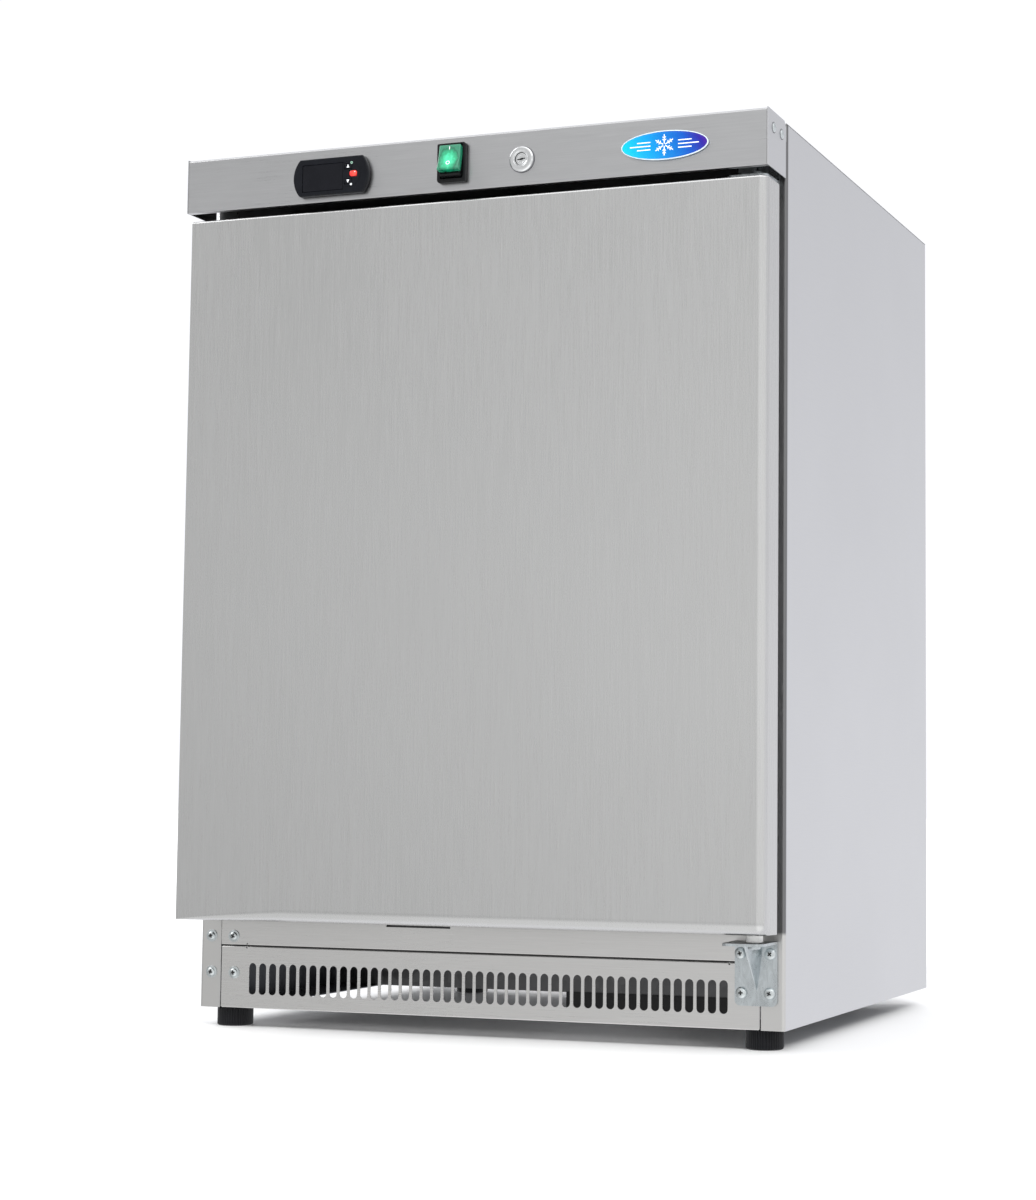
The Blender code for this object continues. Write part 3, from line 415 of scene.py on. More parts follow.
# painted shade: the next sheet and the low galvanised one are far darker than their metal, standing in for the shade
# under the cabinet
SHADED_SHEET = galvanised("dark_sheet", (0.10, 0.105, 0.115))
GALV = galvanised()
GALV_SHADED = galvanised("galvanised_shaded_base", (0.135, 0.135, 0.138))
BLACK = plastic("black_plastic", (0.018, 0.018, 0.020), 0.40)
BLACK_SOFT = plastic("black_matt", (0.012, 0.012, 0.013), 0.62, 900.0, 0.2)
WHITE = plastic("liner_plastic", (0.80, 0.80, 0.785), 0.42, 900.0, 0.03, 0.01)
NYLON = plastic("nylon", (0.88, 0.88, 0.87), 0.42, 1200.0, 0.06, 0.04, sub=0.15)
SEAL = plastic("gasket_pvc", (0.13, 0.13, 0.14), 0.55, 1000.0, 0.10, 0.1)
RUBBER = plastic("foot_rubber", (0.0085, 0.0088, 0.0110), 0.38, 1400.0, 0.20, 0.2, spec=0.28)
FOAM = plastic("poured_foam", (0.72, 0.60, 0.34), 0.85, 700.0, 0.6, 0.12)
COATED = plastic("wire_coating", (0.74, 0.75, 0.76), 0.32, 700.0, 0.05, 0.04)
PAINT = plastic("compressor_paint", (0.012, 0.012, 0.013), 0.34, 420.0, 0.16, 0.15, coat=0.15)
COPPER = polished("copper_pipe", (0.80, 0.42, 0.28), 0.30)
FIN = polished("aluminium", (0.74, 0.75, 0.76), 0.34)
CHROME = polished("lock_chrome", (0.88, 0.89, 0.90), 0.08, (LOCK_X, 0, LOCK_Z))


# ------------------------------------------------------------------ mesh builders
def object_of(name, bm):
    bmesh.ops.recalc_face_normals(bm, faces=bm.faces)
    bmesh.ops.translate(bm, verts=bm.verts, vec=SHIFT)
    mesh = bpy.data.meshes.new(name)
    bm.to_mesh(mesh)
    bm.free()
    ob = bpy.data.objects.new(name, mesh)
    SCENE.collection.objects.link(ob)
    return ob


def box(bm, x0, x1, y0, y1, z0, z1):
    centre = Vector(((x0 + x1) / 2, (y0 + y1) / 2, (z0 + z1) / 2))
    size = Matrix.Diagonal((x1 - x0, y1 - y0, z1 - z0, 1))
    return bmesh.ops.create_cube(bm, size=1, matrix=Matrix.Translation(centre) @ size)["verts"]


def cyl(bm, centre, axis, r0, r1, length, seg=32):
    turn = Vector((0, 0, 1)).rotation_difference(Vector(axis)).to_matrix().to_4x4()
    at = Matrix.Translation(Vector(centre) + Vector(axis) * length / 2)
    return bmesh.ops.create_cone(bm, cap_ends=True, segments=seg, radius1=r0, radius2=r1,
                                 depth=length, matrix=at @ turn)["verts"]


def place3(axis, a, b, h):
    return {'X': (h, a, b), 'Y': (a, h, b), 'Z': (a, b, h)}[axis]


def prism(bm, section, axis, lo, hi):
    face = bm.faces.new([bm.verts.new(place3(axis, a, b, lo)) for a, b in section])
    made = bmesh.ops.extrude_face_region(bm, geom=[face])["geom"]
    push = Vector(place3(axis, 0, 0, hi - lo))
    verts = [g for g in made if isinstance(g, bmesh.types.BMVert)]
    bmesh.ops.translate(bm, verts=verts, vec=push)


def ribbon(bm, section, axis, lo, hi):
    """Open sheet from a section line."""
    first = [bm.verts.new(place3(axis, a, b, lo)) for a, b in section]
    edges = [bm.edges.new(pair) for pair in zip(first, first[1:])]
    made = bmesh.ops.extrude_edge_only(bm, edges=edges)["geom"]
    push = Vector(place3(axis, 0, 0, hi - lo))
    bmesh.ops.translate(bm, verts=[g for g in made if isinstance(g, bmesh.types.BMVert)], vec=push)


def rect(a0, a1, b0, b1):
    return [(a0, b0), (a1, b0), (a1, b1), (a0, b1)]


def rounded(points, radii, seg=6):
    out = []
    for i, p in enumerate(points):
        r = radii.get(i, 0) if isinstance(radii, dict) else radii
        if not r:
            out.append(p)
            continue
        p, a, b = Vector(p), Vector(points[i - 1]), Vector(points[(i + 1) % len(points)])
        u, v = (a - p).normalized(), (b - p).normalized()
        half = math.acos(max(-1, min(1, u.dot(v)))) / 2
        back = r / math.tan(half)
        centre = p + (u + v).normalized() * (r / math.sin(half))
        s, e = p + u * back - centre, p + v * back - centre
        sweep = math.atan2(s.x * e.y - s.y * e.x, s.dot(e))
        for k in range(seg + 1):
            t = sweep * k / seg
            c, n = math.cos(t), math.sin(t)
            out.append((centre.x + s.x * c - s.y * n, centre.y + s.x * n + s.y * c))
    return out


def obround(cx, z0, z1, w, seg=8):
    r = w / 2
    top = [(cx + r * math.cos(math.pi * k / seg), z1 - r + r * math.sin(math.pi * k / seg)) for k in range(seg + 1)]
    low = [(cx - r * math.cos(math.pi * k / seg), z0 + r - r * math.sin(math.pi * k / seg)) for k in range(seg + 1)]
    return top + low


def circle(cx, cz, r, seg=32):
    return [(cx + r * math.cos(2 * math.pi * k / seg), cz + r * math.sin(2 * math.pi * k / seg)) for k in range(seg)]


def lathe(bm, profile, origin, axis=(0, 0, 1), seg=48):
    """Turned closed solid from a (radius, height) profile that starts and ends on the axis or closes on itself."""
    turn = Vector((0, 0, 1)).rotation_difference(Vector(axis)).to_matrix()
    rings = []
    closed = profile[0] == profile[-1]
    pts = profile[:-1] if closed else profile
    for r, h in pts:
        if r < 1e-9:
            rings.append([bm.verts.new(turn @ Vector((0, 0, h)) + Vector(origin))])
        else:
            rings.append([bm.verts.new(turn @ Vector((r * math.cos(2 * math.pi * k / seg),
                                                      r * math.sin(2 * math.pi * k / seg), h)) + Vector(origin))
                          for k in range(seg)])
    pairs = list(zip(rings, rings[1:])) + ([(rings[-1], rings[0])] if closed else [])
    for a, b in pairs:
        for k in range(seg):
            j = (k + 1) % seg
            quad = [a[k % len(a)], a[j % len(a)], b[j % len(b)], b[k % len(b)]]
            quad = [v for i, v in enumerate(quad) if v not in quad[:i]]
            if len(quad) > 2:
                bm.faces.new(quad)


def smooth_route(points, per=8):
    pts = [Vector(p) for p in points]
    pts = [pts[0] * 2 - pts[1]] + pts + [pts[-1] * 2 - pts[-2]]
    out = []
    for a, b, c, d in zip(pts, pts[1:], pts[2:], pts[3:]):
        for k in range(per):
            t = k / per
            out.append(0.5 * ((2 * b) + (c - a) * t + (2 * a - 5 * b + 4 * c - d) * t * t
                              + (3 * b - a - 3 * c + d) * t ** 3))
    out.append(pts[-2])
    return out


def sweep(bm, route, r, seg=12, closed=False):
    """Round bar along a route of points, with parallel frames."""
    n = len(route)
    rings, up = [], None
    for i, p in enumerate(route):
        a = route[i - 1] if (i or closed) else p
        b = route[(i + 1) % n] if (i < n - 1 or closed) else p
        t = (b - a).normalized()
        if up is None:
            up = t.orthogonal().normalized()
        up = (up - t * up.dot(t)).normalized()
        side = t.cross(up)
        rings.append([bm.verts.new(p + (up * math.cos(q) + side * math.sin(q)) * r)
                      for q in (2 * math.pi * k / seg for k in range(seg))])
    for a, b in list(zip(rings, rings[1:])) + ([(rings[-1], rings[0])] if closed else []):
        for k in range(seg):
            bm.faces.new((a[k], a[(k + 1) % seg], b[(k + 1) % seg], b[k]))
    if not closed:
        bm.faces.new(rings[0][::-1])
        bm.faces.new(rings[-1])


def loft(bm, rows, cap=True, ring=False):
    """Skin over rows of equal length; closed between last and first row when ring is set."""
    rings = [[bm.verts.new(p) for p in row] for row in rows]
    n = len(rings[0])
    for a, b in list(zip(rings, rings[1:])) + ([(rings[-1], rings[0])] if ring else []):
        for k in range(n):
            bm.faces.new((a[k], a[(k + 1) % n], b[(k + 1) % n], b[k]))
    if cap and not ring:
        bm.faces.new(rings[0][::-1])
        bm.faces.new(rings[-1])


def rrect(axis, a0, a1, b0, b1, r, h, seg=6):
    """Rounded rectangle as a row of points at one height along an axis."""
    return [Vector(place3(axis, a, b, h)) for a, b in rounded(rect(a0, a1, b0, b1), r, seg)]


def tool(bm):
    ob = object_of("tool", bm)
    return ob


def boxes(*extents):
    bm = bmesh.new()
    for e in extents:
        box(bm, *e)
    return tool(bm)


def prisms(axis, lo, hi, *sections):
    bm = bmesh.new()
    for s in sections:
        prism(bm, s, axis, lo, hi)
    return tool(bm)


def bars(*items, seg=32):
    bm = bmesh.new()
    for centre, axis, r, length in items:
        cyl(bm, centre, axis, r, r, length, seg)
    return tool(bm)


def finish(ob, mat, body, slot, *nodes, cuts=(), joins=(), thick=0, bevel=0, bevel_seg=3, angle=35, sharp=35,
           weighted=True, pre_bevel=0, weld=0, bevel_angle=None):
    """Shapes, shades and attaches one visible piece to its body, hiding the CAD nodes it stands in for."""
    if thick:
        mod = ob.modifiers.new("thickness", 'SOLIDIFY')
        mod.thickness, mod.offset, mod.use_even_offset = thick, 0, True
    if pre_bevel:
        mod = ob.modifiers.new("edge", 'BEVEL')
        mod.width, mod.segments, mod.limit_method = pre_bevel, bevel_seg, 'ANGLE'
        mod.angle_limit = math.radians(angle)
    for t in joins:
        mod = ob.modifiers.new("join", 'BOOLEAN')
        mod.operation, mod.object, mod.solver = 'UNION', t, 'EXACT'
    for t in cuts:
        mod = ob.modifiers.new("cut", 'BOOLEAN')
        mod.operation, mod.object, mod.solver = 'DIFFERENCE', t, 'EXACT'
    if bevel:
        if cuts or joins:
            mod = ob.modifiers.new("weld", 'WELD')
            mod.merge_threshold = 0.00001
        mod = ob.modifiers.new("edge", 'BEVEL')
        mod.width, mod.segments, mod.limit_method = bevel, bevel_seg, 'ANGLE'
        mod.angle_limit = math.radians(bevel_angle or angle)
        mod.use_clamp_overlap = True
        mod.harden_normals = False
    if ob.modifiers:
        bpy.context.view_layer.update()
        mesh = bpy.data.meshes.new_from_object(ob.evaluated_get(bpy.context.evaluated_depsgraph_get()))
        ob.modifiers.clear()
        old = ob.data
        ob.data = mesh
        bpy.data.meshes.remove(old)
    for t in tuple(cuts) + tuple(joins):
        mesh = t.data
        bpy.data.objects.remove(t, do_unlink=True)
        bpy.data.meshes.remove(mesh)
    ob.data.materials.clear()
    ob.data.materials.append(mat)
    ob.data.shade_smooth()
    ob.data.set_sharp_from_angle(angle=math.radians(sharp))
    if weighted:
        mod = ob.modifiers.new("normals", 'WEIGHTED_NORMAL')
        mod.keep_sharp = True
        mod.weight = 80
    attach(ob, body)
    if nodes:
        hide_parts(*nodes)
    return ob


def keep(node, mat, bevel=0, seg=2, angle=35, smooth=35):
    """CAD node whose shape is right: it gets its material, and fine edges."""
    ob = NODES[node]
    ob.data.materials.clear()
    ob.data.materials.append(mat)
    if bevel:
        mod = ob.modifiers.new("weld", 'WELD')
        mod.merge_threshold = 0.00001
        mod = ob.modifiers.new("edge", 'BEVEL')
        mod.width, mod.segments, mod.limit_method = bevel, seg, 'ANGLE'
        mod.angle_limit = math.radians(angle)
    return ob


CAB = "cabinet"

# ------------------------------------------------------------------ cabinet shell
mid = 0.300 - HALF
for side, sx in (("left", -1), ("right", 1)):
    bm = bmesh.new()
    ribbon(bm, rounded([(sx * 0.2775, FRONT + HALF), (sx * mid, FRONT + HALF),
                        (sx * mid, DEPTH - HALF), (sx * 0.2840, DEPTH - HALF)], {1: 0.0026, 2: 0.0020}, 10),
           'Z', FOOT_H, PANEL_TOP)
    finish(object_of("side_panel_%s_sheet" % side, bm), STEEL_PANEL, CAB, "steel", "side_panel_" + side,
           thick=SHEET, bevel=0.00018, bevel_seg=2, angle=50)

bm = bmesh.new()
ribbon(bm, rounded([(0.0556, 0.8300), (0.0556, TOP_Z - HALF), (DEPTH - 0.0004, TOP_Z - HALF)], {1: 0.0012}, 6),
       'X', -0.2999, 0.2999)
finish(object_of("top_panel_sheet", bm), brushed("steel_top", 'X', 0.65, 0.36), CAB, "steel", "top_panel",
       thick=SHEET, bevel=0.00018, bevel_seg=2, angle=50)

# control fascia: folded front and top, square side plates with a clipped corner
bm = bmesh.new()
ribbon(bm, rounded([(0.0060, FASCIA_Z0 + HALF), (HALF, FASCIA_Z0 + HALF), (HALF, FASCIA_Z1 - 0.0006 - HALF),
                    (FASCIA_RETURN, FASCIA_Z1 - 0.0006 - HALF)], {1: 0.0008, 2: 0.0020}, 8),
       'X', -0.2988, 0.2988)
front = object_of("control_fascia_front", bm)
finish(front, STEEL_FASCIA, CAB, "steel", "control_fascia", thick=SHEET,
       cuts=[boxes((-0.1735, -0.1045, -0.01, 0.005, 0.8050, 0.8325),
                   (SW_X - 0.0138, SW_X + 0.0138, -0.01, 0.005, 0.8052, 0.8398)),
             bars(((LOCK_X, -0.01, LOCK_Z), (0, 1, 0), 0.0100, 0.015))],
       bevel=0.00015, bevel_seg=2, angle=50)
for side, sx in (("left", -1), ("right", 1)):
    outline = rounded([(0.0, FASCIA_Z0), (FASCIA_RETURN, FASCIA_Z0), (FASCIA_RETURN, FASCIA_Z1 - 0.0055),
                       (FASCIA_RETURN - 0.0040, FASCIA_Z1 - 0.0002), (0.0, FASCIA_Z1)],
                      {0: 0.0006, 1: 0.0012, 2: 0.002, 3: 0.003}, 4)
    bm = bmesh.new()
    xs = sorted((sx * 0.2990, sx * 0.3000))
    prism(bm, outline, 'X', xs[0], xs[1])
    finish(object_of("control_fascia_%s_return" % side, bm), STEEL_SIDE if sx > 0 else STEEL_FASCIA, CAB, "steel",
           bevel=0.00022, bevel_seg=2, angle=40)
    for k, y in enumerate((0.0170, 0.0412)):
        bm = bmesh.new()
        lathe(bm, [(0, 0.0023), (0.0016, 0.0021), (0.0032, 0.0015), (0.0042, 0.0007), (0.0045, 0.0001), (0.0045, -0.0006), (0, -0.0006)],
              (sx * 0.3000, y, 0.8333), (sx, 0, 0), 32)
        finish(object_of("fascia_rivet_%s_%d" % (side, k + 1), bm), zinc("zinc_bright", (0.66, 0.70, 0.71)), CAB, "zinc")
        # painted shade: a dark ring just wider than the rivet head stands in for the shade in the crevice round it
        bm = bmesh.new()
        lathe(bm, [(0.0038, 0.00030), (0.0051, 0.00030), (0.0052, 0.00010), (0.0052, -0.0002), (0.0038, -0.0002), (0.0038, 0.00030)],
              (sx * 0.3000, y, 0.8333), (sx, 0, 0), 32)
        finish(object_of("fascia_rivet_seal_%s_%d" % (side, k + 1), bm), SEAL, CAB, "gasket")


def cross(x, y, z, l, w, y0, y1, turn_deg):
    """Tapered cross-shaped driver recess."""
    rows = []
    for depth, a, b in ((y0, l * 1.05, w), (y1, l * 0.45, w * 0.7)):
        pts = [(b, b), (b, a), (-b, a), (-b, b), (-a, b), (-a, -b), (-b, -b), (-b, -a), (b, -a), (b, -b), (a, -b), (a, b)]
        q = Matrix.Rotation(math.radians(turn_deg), 2)
        rows.append([Vector((x, y + depth, z)) + Vector(place3('Y', *(q @ Vector(p)), 0)) for p in pts])
    bm = bmesh.new()
    loft(bm, rows)
    return tool(bm)


def recess(name, x, y, z, l, w, y0, y1, turn_deg, body=CAB):
    """Painted shadow: a black insert lying in the driver recess, standing in for the shade there."""
    q = Matrix.Rotation(math.radians(turn_deg), 2)
    rows = []
    for depth, a, b in ((y0, l, w), (y1, l * 0.6, w * 0.8)):
        pts = [(b, b), (b, a), (-b, a), (-b, b), (-a, b), (-a, -b), (-b, -b), (-b, -a), (b, -a), (b, -b), (a, -b), (a, b)]
        rows.append([Vector((x, y + depth, z)) + Vector(place3('Y', *(q @ Vector(p)), 0)) for p in pts])
    solid(name, lambda b: loft(b, rows), BLACK_SOFT, body, "zinc")


def solid(name, builder, mat, body, slot, *nodes, **kw):
    bm = bmesh.new()
    builder(bm)
    return finish(object_of(name, bm), mat, body, slot, *nodes, **kw)


def steel_screw(name, x, y, z, body=CAB, r=0.0060, washer=True, mat=None, turn_deg=0):
    """Pan head on a pressed washer, with a cross recess."""
    bm = bmesh.new()
    h = 0.0024
    head = [(0, -h), (r * 0.30, -h * 0.99), (r * 0.50, -h * 0.88), (r * 0.62, -h * 0.62), (r * 0.66, -h * 0.30)]
    flange = [(r * 0.68, -h * 0.22), (r * 0.97, -h * 0.20), (r, -0.0001), (r * 0.98, 0.0004), (0, 0.0004)]
    lathe(bm, head + flange, (x, y, z), (0, 1, 0), 32)
    finish(object_of(name, bm), mat or zinc("zinc_bright", (0.66, 0.70, 0.71)), body, "zinc",
           cuts=[cross(x, y, z, r * 0.44, r * 0.14, -h * 1.3, -h * 0.30, turn_deg)], weighted=False)
    recess(name + "_recess", x, y, z, r * 0.34, r * 0.11, -h * 0.84, -h * 0.34, turn_deg, body)


for k, (x, z) in enumerate(((-0.2878, 0.0877), (-0.2874, 0.0528))):
    steel_screw("flange_screw_left_%d" % (k + 1), x, FRONT - 0.0005, z, turn_deg=20 + 50 * k)
steel_screw("rail_screw_left", -0.2632, FRONT - 0.0005, 0.0879, turn_deg=65)
steel_screw("grille_screw_left", -0.2623, FRONT - 0.0005, 0.0527, turn_deg=10)

# ------------------------------------------------------------------ lower front
bm = bmesh.new()
ribbon(bm, rounded([(0.0700, 0.0798), (FRONT + HALF, 0.0798), (FRONT + HALF, 0.1216)], {1: 0.0008}, 5), 'X', -0.2770, 0.2770)
finish(object_of("lower_front_rail_sheet", bm), STEEL_BASE, CAB, "steel", "lower_front_rail", thick=SHEET,
       cuts=[boxes((-0.0980, -0.0310, 0.05, 0.0625, 0.1010, 0.1032), (-0.2492, -0.2478, 0.05, 0.0602, 0.0780, 0.0812))],
       bevel=0.00012, bevel_seg=2, angle=50)

bm = bmesh.new()
ribbon(bm, rounded([(0.0706, 0.0191), (FRONT + HALF, 0.0191), (FRONT + HALF, 0.0778), (0.0690, 0.0778)],
                   {1: 0.0008, 2: 0.0008}, 5), 'X', -0.2764, 0.2764)
slots = [obround((i - 22) * 0.011, 0.0320, 0.0623, 0.0079, 8) for i in range(45)]
finish(object_of("vent_grille_sheet", bm), STEEL_BASE, CAB, "steel", "vent_grille", thick=SHEET,
       cuts=[prisms('Y', 0.055, 0.0635, *slots),
             boxes((-0.2498, -0.2482, 0.05, 0.0602, 0.0762, 0.0800), (0.2466, 0.2482, 0.05, 0.0602, 0.0762, 0.0800)),
             prisms('Y', 0.05, 0.08, [(-0.2790, 0.0150), (-0.2722, 0.0150), (-0.2790, 0.0232)],
                    [(0.2790, 0.0150), (0.2790, 0.0232), (0.2722, 0.0150)])],
       bevel=0.00010, bevel_seg=2, angle=50)
# painted shade: the rail behind the fascia is black, standing in for the deep shade there
keep("upper_front_rail", BLACK_SOFT)

# base rails, compressor base and underside get the darkened sheets as painted shade under the cabinet
for n in ("base_rail_left", "base_rail_right", "compressor_base", "underside_panel"):
    keep(n, SHADED_SHEET if n.startswith("base") else GALV_SHADED, 0.0002 if n != "underside_panel" else 0)
keep("back_panel", GALV)
keep("cabinet_foam", FOAM)
keep("door_foam", FOAM)
keep("evaporator_plate", FIN)

# ------------------------------------------------------------------ hinges
def hinge(which, z_ledge, z0, z1, up):
    radii = {0: 0.005, 1: 0.005, 2: 0.0015, 3: 0.0015} if up > 0 else {2: 0.005, 3: 0.005, 0: 0.0015, 1: 0.0015}
    bm = bmesh.new()
    prism(bm, rounded(rect(0.2535, 0.2935, z0, z1), radii, 8), 'Y', 0.0557, 0.0582)
    plate = object_of(which + "_hinge_plate", bm)
    a, b = sorted((z_ledge, z_ledge - 0.0025 * up))
    y_nose = 0.0135 if up > 0 else 0.0190
    nose = rounded([(0.2535, 0.0570), (0.2545, y_nose), (0.2925, y_nose), (0.2935, 0.0570)], {1: 0.0050, 2: 0.0070}, 10)
    joins = [prisms('Z', a, b, nose)]
    tip = z0 + 0.012 if up > 0 else z1 - 0.012
    root = (a + b) / 2
    bm = bmesh.new()
    ridge = []
    rows = 9
    for i in range(rows):
        t = i / (rows - 1)
        z = root + (tip - root) * t
        w = 0.0088 * (1 - t) ** 0.9 + 0.0004
        d = 0.0290 * (1 - t) + 0.0002
        cx = 0.2716 + 0.0028 * t
        row = [bm.verts.new((cx - w, 0.0570, z)), bm.verts.new((cx - w * 0.55, 0.0570 - d * 0.55, z)),
               bm.verts.new((cx - w * 0.12, 0.0570 - d, z)), bm.verts.new((cx + w * 0.12, 0.0570 - d, z)),
               bm.verts.new((cx + w * 0.55, 0.0570 - d * 0.55, z)), bm.verts.new((cx + w, 0.0570, z))]
        ridge.append(row)
    for p, q in zip(ridge, ridge[1:]):
        for k in range(6):
            bm.faces.new((p[k], p[(k + 1) % 6], q[(k + 1) % 6], q[k]))
    bm.faces.new(ridge[0])
    bm.faces.new(ridge[-1])
    joins.append(tool(bm))
    cuts = [bars(((PIN_X, PIN_Y, z_ledge - 0.02), (0, 0, 1), PIN_R + 0.0003, 0.04))]
    if up > 0:
        cuts.append(bars(*[((x, 0.05, z), (0, 1, 0), 0.0027, 0.02) for x, z in HINGE_SCREWS], seg=24))
    # the lower hinge's zinc has its ledge top painted dark as painted reflection and shade
    finish(plate, zinc("zinc_hinge", (0.58, 0.62, 0.64), z_ledge) if up > 0 else ZINC, CAB, "zinc", which + "_hinge_bracket", joins=joins, cuts=cuts, bevel=0.00035, bevel_seg=3,
           angle=50)


HINGE_SCREWS = ((0.2590, 0.0872), (0.2872, 0.0872), (0.2600, 0.0520), (0.2866, 0.0520))
hinge("lower", 0.0985, 0.0405, 0.0985, 1)
hinge("upper", 0.7906, 0.7906, 0.8260, -1)


def pan_screw(name, x, y, z, node, turn_deg):
    r, h = 0.0054, 0.0030
    bm = bmesh.new()
    lathe(bm, [(0, -h), (r * 0.30, -h * 0.99), (r * 0.62, -h * 0.90), (r * 0.86, -h * 0.66), (r * 0.97, -h * 0.34),
               (r, -h * 0.08), (r * 0.98, -0.0001), (r * 0.44, -0.0001), (r * 0.44, 0.0021), (0, 0.0021)],
          (x, y, z), (0, 1, 0), 36)
    finish(object_of(name, bm), zinc("zinc_bright", (0.66, 0.70, 0.71)), CAB, "zinc", node,
           cuts=[cross(x, y, z, 0.0026, 0.00078, -h * 1.4, -h * 0.25, turn_deg)], weighted=False)
    recess(name + "_recess", x, y, z, 0.0021, 0.00060, -h * 0.86, -h * 0.30, turn_deg)


for i, ((x, z), q) in enumerate(zip(HINGE_SCREWS, (18, 40, 5, 62))):
    pan_screw("hinge_screw_head_%d" % (i + 1), x, 0.0556, z, "hinge_screw_%d" % (i + 1), q)


def turned(name, mat, body, slot, nodes, profile, origin, axis=(0, 0, 1), seg=48, **kw):
    bm = bmesh.new()
    lathe(bm, profile, origin, axis, seg)
    return finish(object_of(name, bm), mat, body, slot, *nodes, **kw)


turned("lower_hinge_pin_turned", ZINC, CAB, "zinc", ["lower_hinge_pin"],
       [(0, 0.0250), (0.0026, 0.0250), (0.0036, 0.0246), (PIN_R, 0.0236), (PIN_R, -0.0029), (0.0056, -0.0029),
        (0.0058, -0.0032), (0.0058, -0.0050), (0.0052, -0.0055), (0, -0.0055)], (PIN_X, PIN_Y, 0.0985))
turned("upper_hinge_pin_turned", ZINC, CAB, "zinc", ["upper_hinge_pin"],
       [(0, 0.0055), (0.0052, 0.0055), (0.0058, 0.0050), (0.0058, 0.0029), (PIN_R, 0.0029), (PIN_R, -0.0236),
        (0.0036, -0.0246), (0.0026, -0.0250), (0, -0.0250)], (PIN_X, PIN_Y, 0.7906))
BORE = 0.0041
turned("lower_hinge_bush_moulded", NYLON, "door", "nylon", ["lower_hinge_bush"],
       [(BORE, 0.0200), (0.0049, 0.0200), (0.0052, 0.0196), (0.0052, 0.0070), (0.0074, 0.0070), (0.0078, 0.0066),
        (0.0078, 0.0009), (0.0074, 0.0005), (BORE, 0.0005), (BORE, 0.0200)], (PIN_X, PIN_Y, 0.0985))
turned("upper_hinge_bush_moulded", NYLON, "door", "nylon", ["upper_hinge_bush"],
       [(BORE, -0.0005), (0.0074, -0.0005), (0.0078, -0.0009), (0.0078, -0.0031), (0.0074, -0.0034), (0.0052, -0.0034),
        (0.0052, -0.0166), (0.0049, -0.0170), (BORE, -0.0170), (BORE, -0.0005)], (PIN_X, PIN_Y, 0.7906))

# ------------------------------------------------------------------ door
def door_form(inset, back, left=None, foot_seg=10, side_seg=10):
    bm = bmesh.new()
    box(bm, DOOR_X0 + (inset if left is None else left), DOOR_X1 - inset, inset, back, DOOR_Z0 + inset, DOOR_Z1 - inset)
    foot = [e for e in bm.edges if all(abs(v.co.y - inset) < 1e-6 and v.co.z < DOOR_Z0 + inset + 1e-6 for v in e.verts)]
    bmesh.ops.bevel(bm, geom=foot, offset=0.0120 - inset, segments=foot_seg, profile=0.5, affect='EDGES')
    side = [e for e in bm.edges if all(abs(v.co.x - DOOR_X1 + inset) < 1e-6 for v in e.verts)
            and not all(abs(v.co.y - back) < 1e-6 for v in e.verts)
            and not all(abs(v.co.z - DOOR_Z1 + inset) < 1e-6 for v in e.verts)
            and not all(abs(v.co.z - DOOR_Z0 - inset) < 1e-6 for v in e.verts)]
    bmesh.ops.bevel(bm, geom=side, offset=0.0085 - inset, segments=side_seg, profile=0.5, affect='EDGES')
    # the lower bend runs out to a square corner at the handle side
    x0 = DOOR_X0 + (inset if left is None else left)
    for reach, keep_r in ((0.110, 1.0), (0.060, 0.72), (0.022, 0.34)):
        bmesh.ops.bisect_plane(bm, geom=bm.verts[:] + bm.edges[:] + bm.faces[:], dist=1e-7, plane_co=(x0 + reach, 0, 0), plane_no=(1, 0, 0))
    r = 0.0120 - inset
    for v in bm.verts:
        dy, dz = v.co.y - inset, v.co.z - DOOR_Z0 - inset
        if dy < r + 1e-6 and dz < r + 1e-6:
            t = min(1.0, max(0.0, (v.co.x - x0) / 0.110))
            k = 0.06 + 0.94 * t ** 0.8
            if k < 0.999:
                v.co.y, v.co.z = inset + dy * k, DOOR_Z0 + inset + dz * k
    return bm


bm = door_form(HALF, DOOR_BACK, 0.0)
top = [e for e in bm.edges if all(abs(v.co.z - DOOR_Z1 + HALF) < 1e-6 for v in e.verts)
       and not all(abs(v.co.y - DOOR_BACK) < 1e-6 for v in e.verts)
       and not all(v.co.x < DOOR_X0 + 1e-5 for v in e.verts)]
bmesh.ops.bevel(bm, geom=top, offset=0.0021, segments=4, profile=0.5, affect='EDGES')
gone = [f for f in bm.faces if f.calc_center_median().x < DOOR_X0 + 1e-5 or f.calc_center_median().y > DOOR_BACK - 1e-5]
bmesh.ops.delete(bm, geom=gone, context='FACES_ONLY')
finish(object_of("door_skin", bm), STEEL_DOOR, "door", "steel", "door_outer_skin", thick=SHEET,
       cuts=[bars(((PIN_X, PIN_Y, 0.09), (0, 0, 1), 0.0056, 0.03), ((PIN_X, PIN_Y, 0.77), (0, 0, 1), 0.0056, 0.03)),
             boxes((LOCK_X - 0.0095, LOCK_X + 0.0330, 0.0150, 0.0250, 0.77, 0.80))], sharp=40)
keep("door_grip", BLACK, 0.0004)

# ------------------------------------------------------------------ controls
GLOSS_BLACK = plastic("controller_black", (0.0055, 0.0062, 0.0090), 0.22, 1300.0, 0.05, 0.15, spec=0.20)
SWITCH_BLACK = plastic("switch_black", (0.0055, 0.0058, 0.0065), 0.30, 1300.0, 0.10, 0.15, spec=0.22)
keep("electrical_box", BLACK_SOFT, 0.0005)

